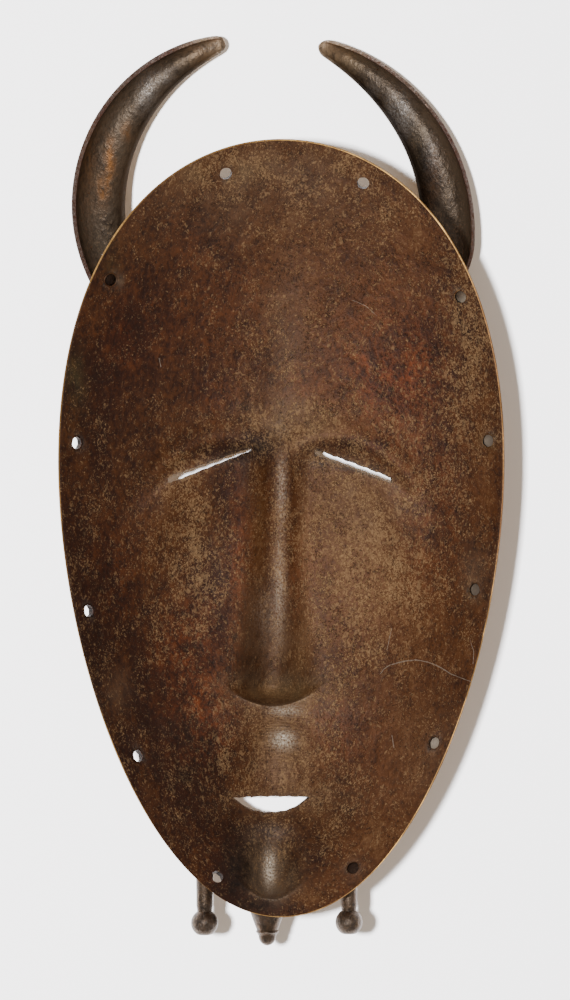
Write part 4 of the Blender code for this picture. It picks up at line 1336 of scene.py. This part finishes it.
rim = {"brass": (222, 176, 104), "tarnish": (92, 62, 36), "metallic": 0.75, "gloss": 0.50,
       "patches": (0.018, 3.0, 5.0), "fileScale": 1500.0, "fileHeight": 0.00005}


def filedBrass():
    skin = Skin("filedBrass", rim, "tarnish")
    broad = skin.spread(patinaTree, *rim["patches"])
    # filed brass through the tarnish, partly a painted highlight where the rim catches the lamp
    skin.coat((skin.mark("brassAndGlint") * (broad + 0.35)).clamped(), "brass")
    strokes = noise(skin.place, rim["fileScale"], detail=2.0)
    return skin.finished(strokes * 0.2 + 0.30, strokes * rim["fileHeight"])


def hornValues(data):   # where a point lies across and along its horn
    places = pointVectors(data) - np.array(faceOrigin)
    share = regionShare(data, "horn")
    kept = {name: np.zeros(len(places)) for name in ("lip", "tipWear", "sideLight", "edge", "creaseShade")}
    trough = (share <= 0.3).astype(float)
    between = (horns["left"]["centre"][0] + horns["right"]["centre"][0]) / 2
    for side, sign, sideLight in (("left", -1, 0.1), ("right", 1, 1.3)):
        shape = horns[side]
        dx, dy = places[:, 0] - shape["centre"][0], places[:, 1] - shape["centre"][1]
        angle = np.degrees(np.arctan2(dy, dx))
        if side == "left":
            angle = angle % 360
        along = (angle - shape["root"]) / (shape["tip"] - shape["root"])
        arc = abs(shape["tip"] - shape["root"])
        width = np.array([hornWidth(value, arc) for value in np.clip(arc * (1 - along), 0, arc)])
        v = (np.hypot(dx, dy) - shape["radius"]) / (width / 2)
        own = (np.abs(v) < 1.3) & (along > -0.1) & (along < 1.1) & (share > 0.3)
        own &= np.sign(places[:, 0] - between) == sign
        drop = (-places[:, 2] - hornEdgeDepth(shape, along)) / width
        trough += own * fallTo(np.abs(v), 0.96, 0.62)
        kept["lip"] += own * fallTo(drop, 0.16, 0.10) * riseFrom(v, 0.3, 0.3)
        kept["tipWear"] += own * riseFrom(along, 0.86, 0.10)
        # painted light on one side of each trough: strongly on the outer side of the right horn, which faces
        # the lamp, slightly on the left horn
        kept["sideLight"] += own * np.clip(v, -1, 1) * sideLight
        # painted highlight: thin glints along both lips
        kept["edge"] += own * fallTo(drop, 0.14, 0.08) * hump(np.abs(v), 0.95, 0.07)
        # painted shade in the crease inside each lip
        kept["creaseShade"] += own * hump(np.abs(v), 0.76, 0.09)
    above = riseFrom(pointVectors(data, "normal")[:, 2], -0.05, 0.25)
    kept["trough"] = 1 - above * (1 - trough)
    kept["edge"] *= above
    for name, values in kept.items():
        keepValues(data, name, values)


hornValues(mask.data)
finishes = {"bronze": patinatedBronze(), "dark": darkBronze(), "rim": filedBrass()}
finishOf = {"horn": "dark", "leg": "dark", "beard": "dark", "rim": "rim"}


def dressMask(data):
    names = list(finishes)
    regionFinish = np.array([names.index(finishOf.get(name, "bronze")) for name in regions])
    faceRegion = np.zeros(len(data.polygons), dtype=np.int32)
    data.polygons.foreach_get("material_index", faceRegion)
    data.materials.clear()
    for material in finishes.values():
        data.materials.append(material)
    data.polygons.foreach_set("material_index", regionFinish[faceRegion].astype(np.int32))


dressMask(mask.data)
print("finishes given:", len(mask.data.polygons), "faces")
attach(mask, "root")
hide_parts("mask")


def placeCamera():
    camera = newObject("camera", bpy.data.cameras.new("camera"))
    camera.location = viewPoint
    camera.rotation_euler = Matrix((rightward, upward, backward)).transposed().to_euler()
    camera.data.sensor_fit = "AUTO"
    camera.data.sensor_width = view["sensor"]
    frameHeight = 2 * view["frameMiddle"][1] * view["metresPerPixel"]
    camera.data.lens = view["sensor"] * view["distance"] / frameHeight
    camera.data.clip_end = 10
    bpy.context.scene.camera = camera


studio = {
    "floorSize": 12.0, "floorColour": (0.88, 0.88, 0.87), "floorRoughness": 0.9,
    "floorGlow": (0.128, 0.074, 0.028), "ambient": (1.0, 0.94, 0.88), "ambientPower": 0.48,
    "lamps": {   # place, size, power and colour
        "key": ((-0.36, 0.0, 1.6), 0.09, 15.0, (1.0, 0.99, 0.97)),
        "paperKey": ((-0.36, 0.0, 1.6), 0.09, 104.0, (0.985, 0.99, 1.04)),
        "fill": ((1.2, 0.2, 1.25), 0.4, 0.8, (1.0, 0.99, 0.97)),
    },
}


def lightArea(name, place, size, power, colour):
    data = bpy.data.lights.new(name, "AREA")
    data.size = size
    data.energy = power
    data.color = colour
    lamp = newObject(name, data)
    lamp.location = place
    lamp.rotation_euler = (-Vector(place)).to_track_quat("-Z", "Y").to_euler()
    return lamp


def layFloor():
    half = studio["floorSize"] / 2
    data = bpy.data.meshes.new("floor")
    corners = [(-half, -half, 0), (half, -half, 0), (half, half, 0), (-half, half, 0)]
    data.from_pydata(corners, [], [(0, 1, 2, 3)])
    floor = newObject("floor", data)
    data.transform(Matrix.Translation((0, 0, maskLow[2])))
    material = bpy.data.materials.new("paperFloor")
    material.use_nodes = True
    shader = material.node_tree.nodes["Principled BSDF"]
    shader.inputs["Base Color"].default_value = (*studio["floorColour"], 1)
    shader.inputs["Emission Color"].default_value = (*studio["floorGlow"], 1)
    shader.inputs["Emission Strength"].default_value = 1.0
    shader.inputs["Roughness"].default_value = studio["floorRoughness"]
    data.materials.append(material)
    return floor


def setStudio(floor):
    lamps = {name: lightArea(name, *values) for name, values in studio["lamps"].items()}
    paper = bpy.data.collections.new("paper")   # this lamp lights only the floor, to near white
    paper.objects.link(floor)
    lamps["paperKey"].light_linking.receiver_collection = paper
    world = bpy.data.worlds.new("softRoom")
    world.use_nodes = True
    background = world.node_tree.nodes["Background"]
    background.inputs["Color"].default_value = (*studio["ambient"], 1)
    background.inputs["Strength"].default_value = studio["ambientPower"]
    bpy.context.scene.world = world


placeCamera()
setStudio(layFloor())
print("studio set")
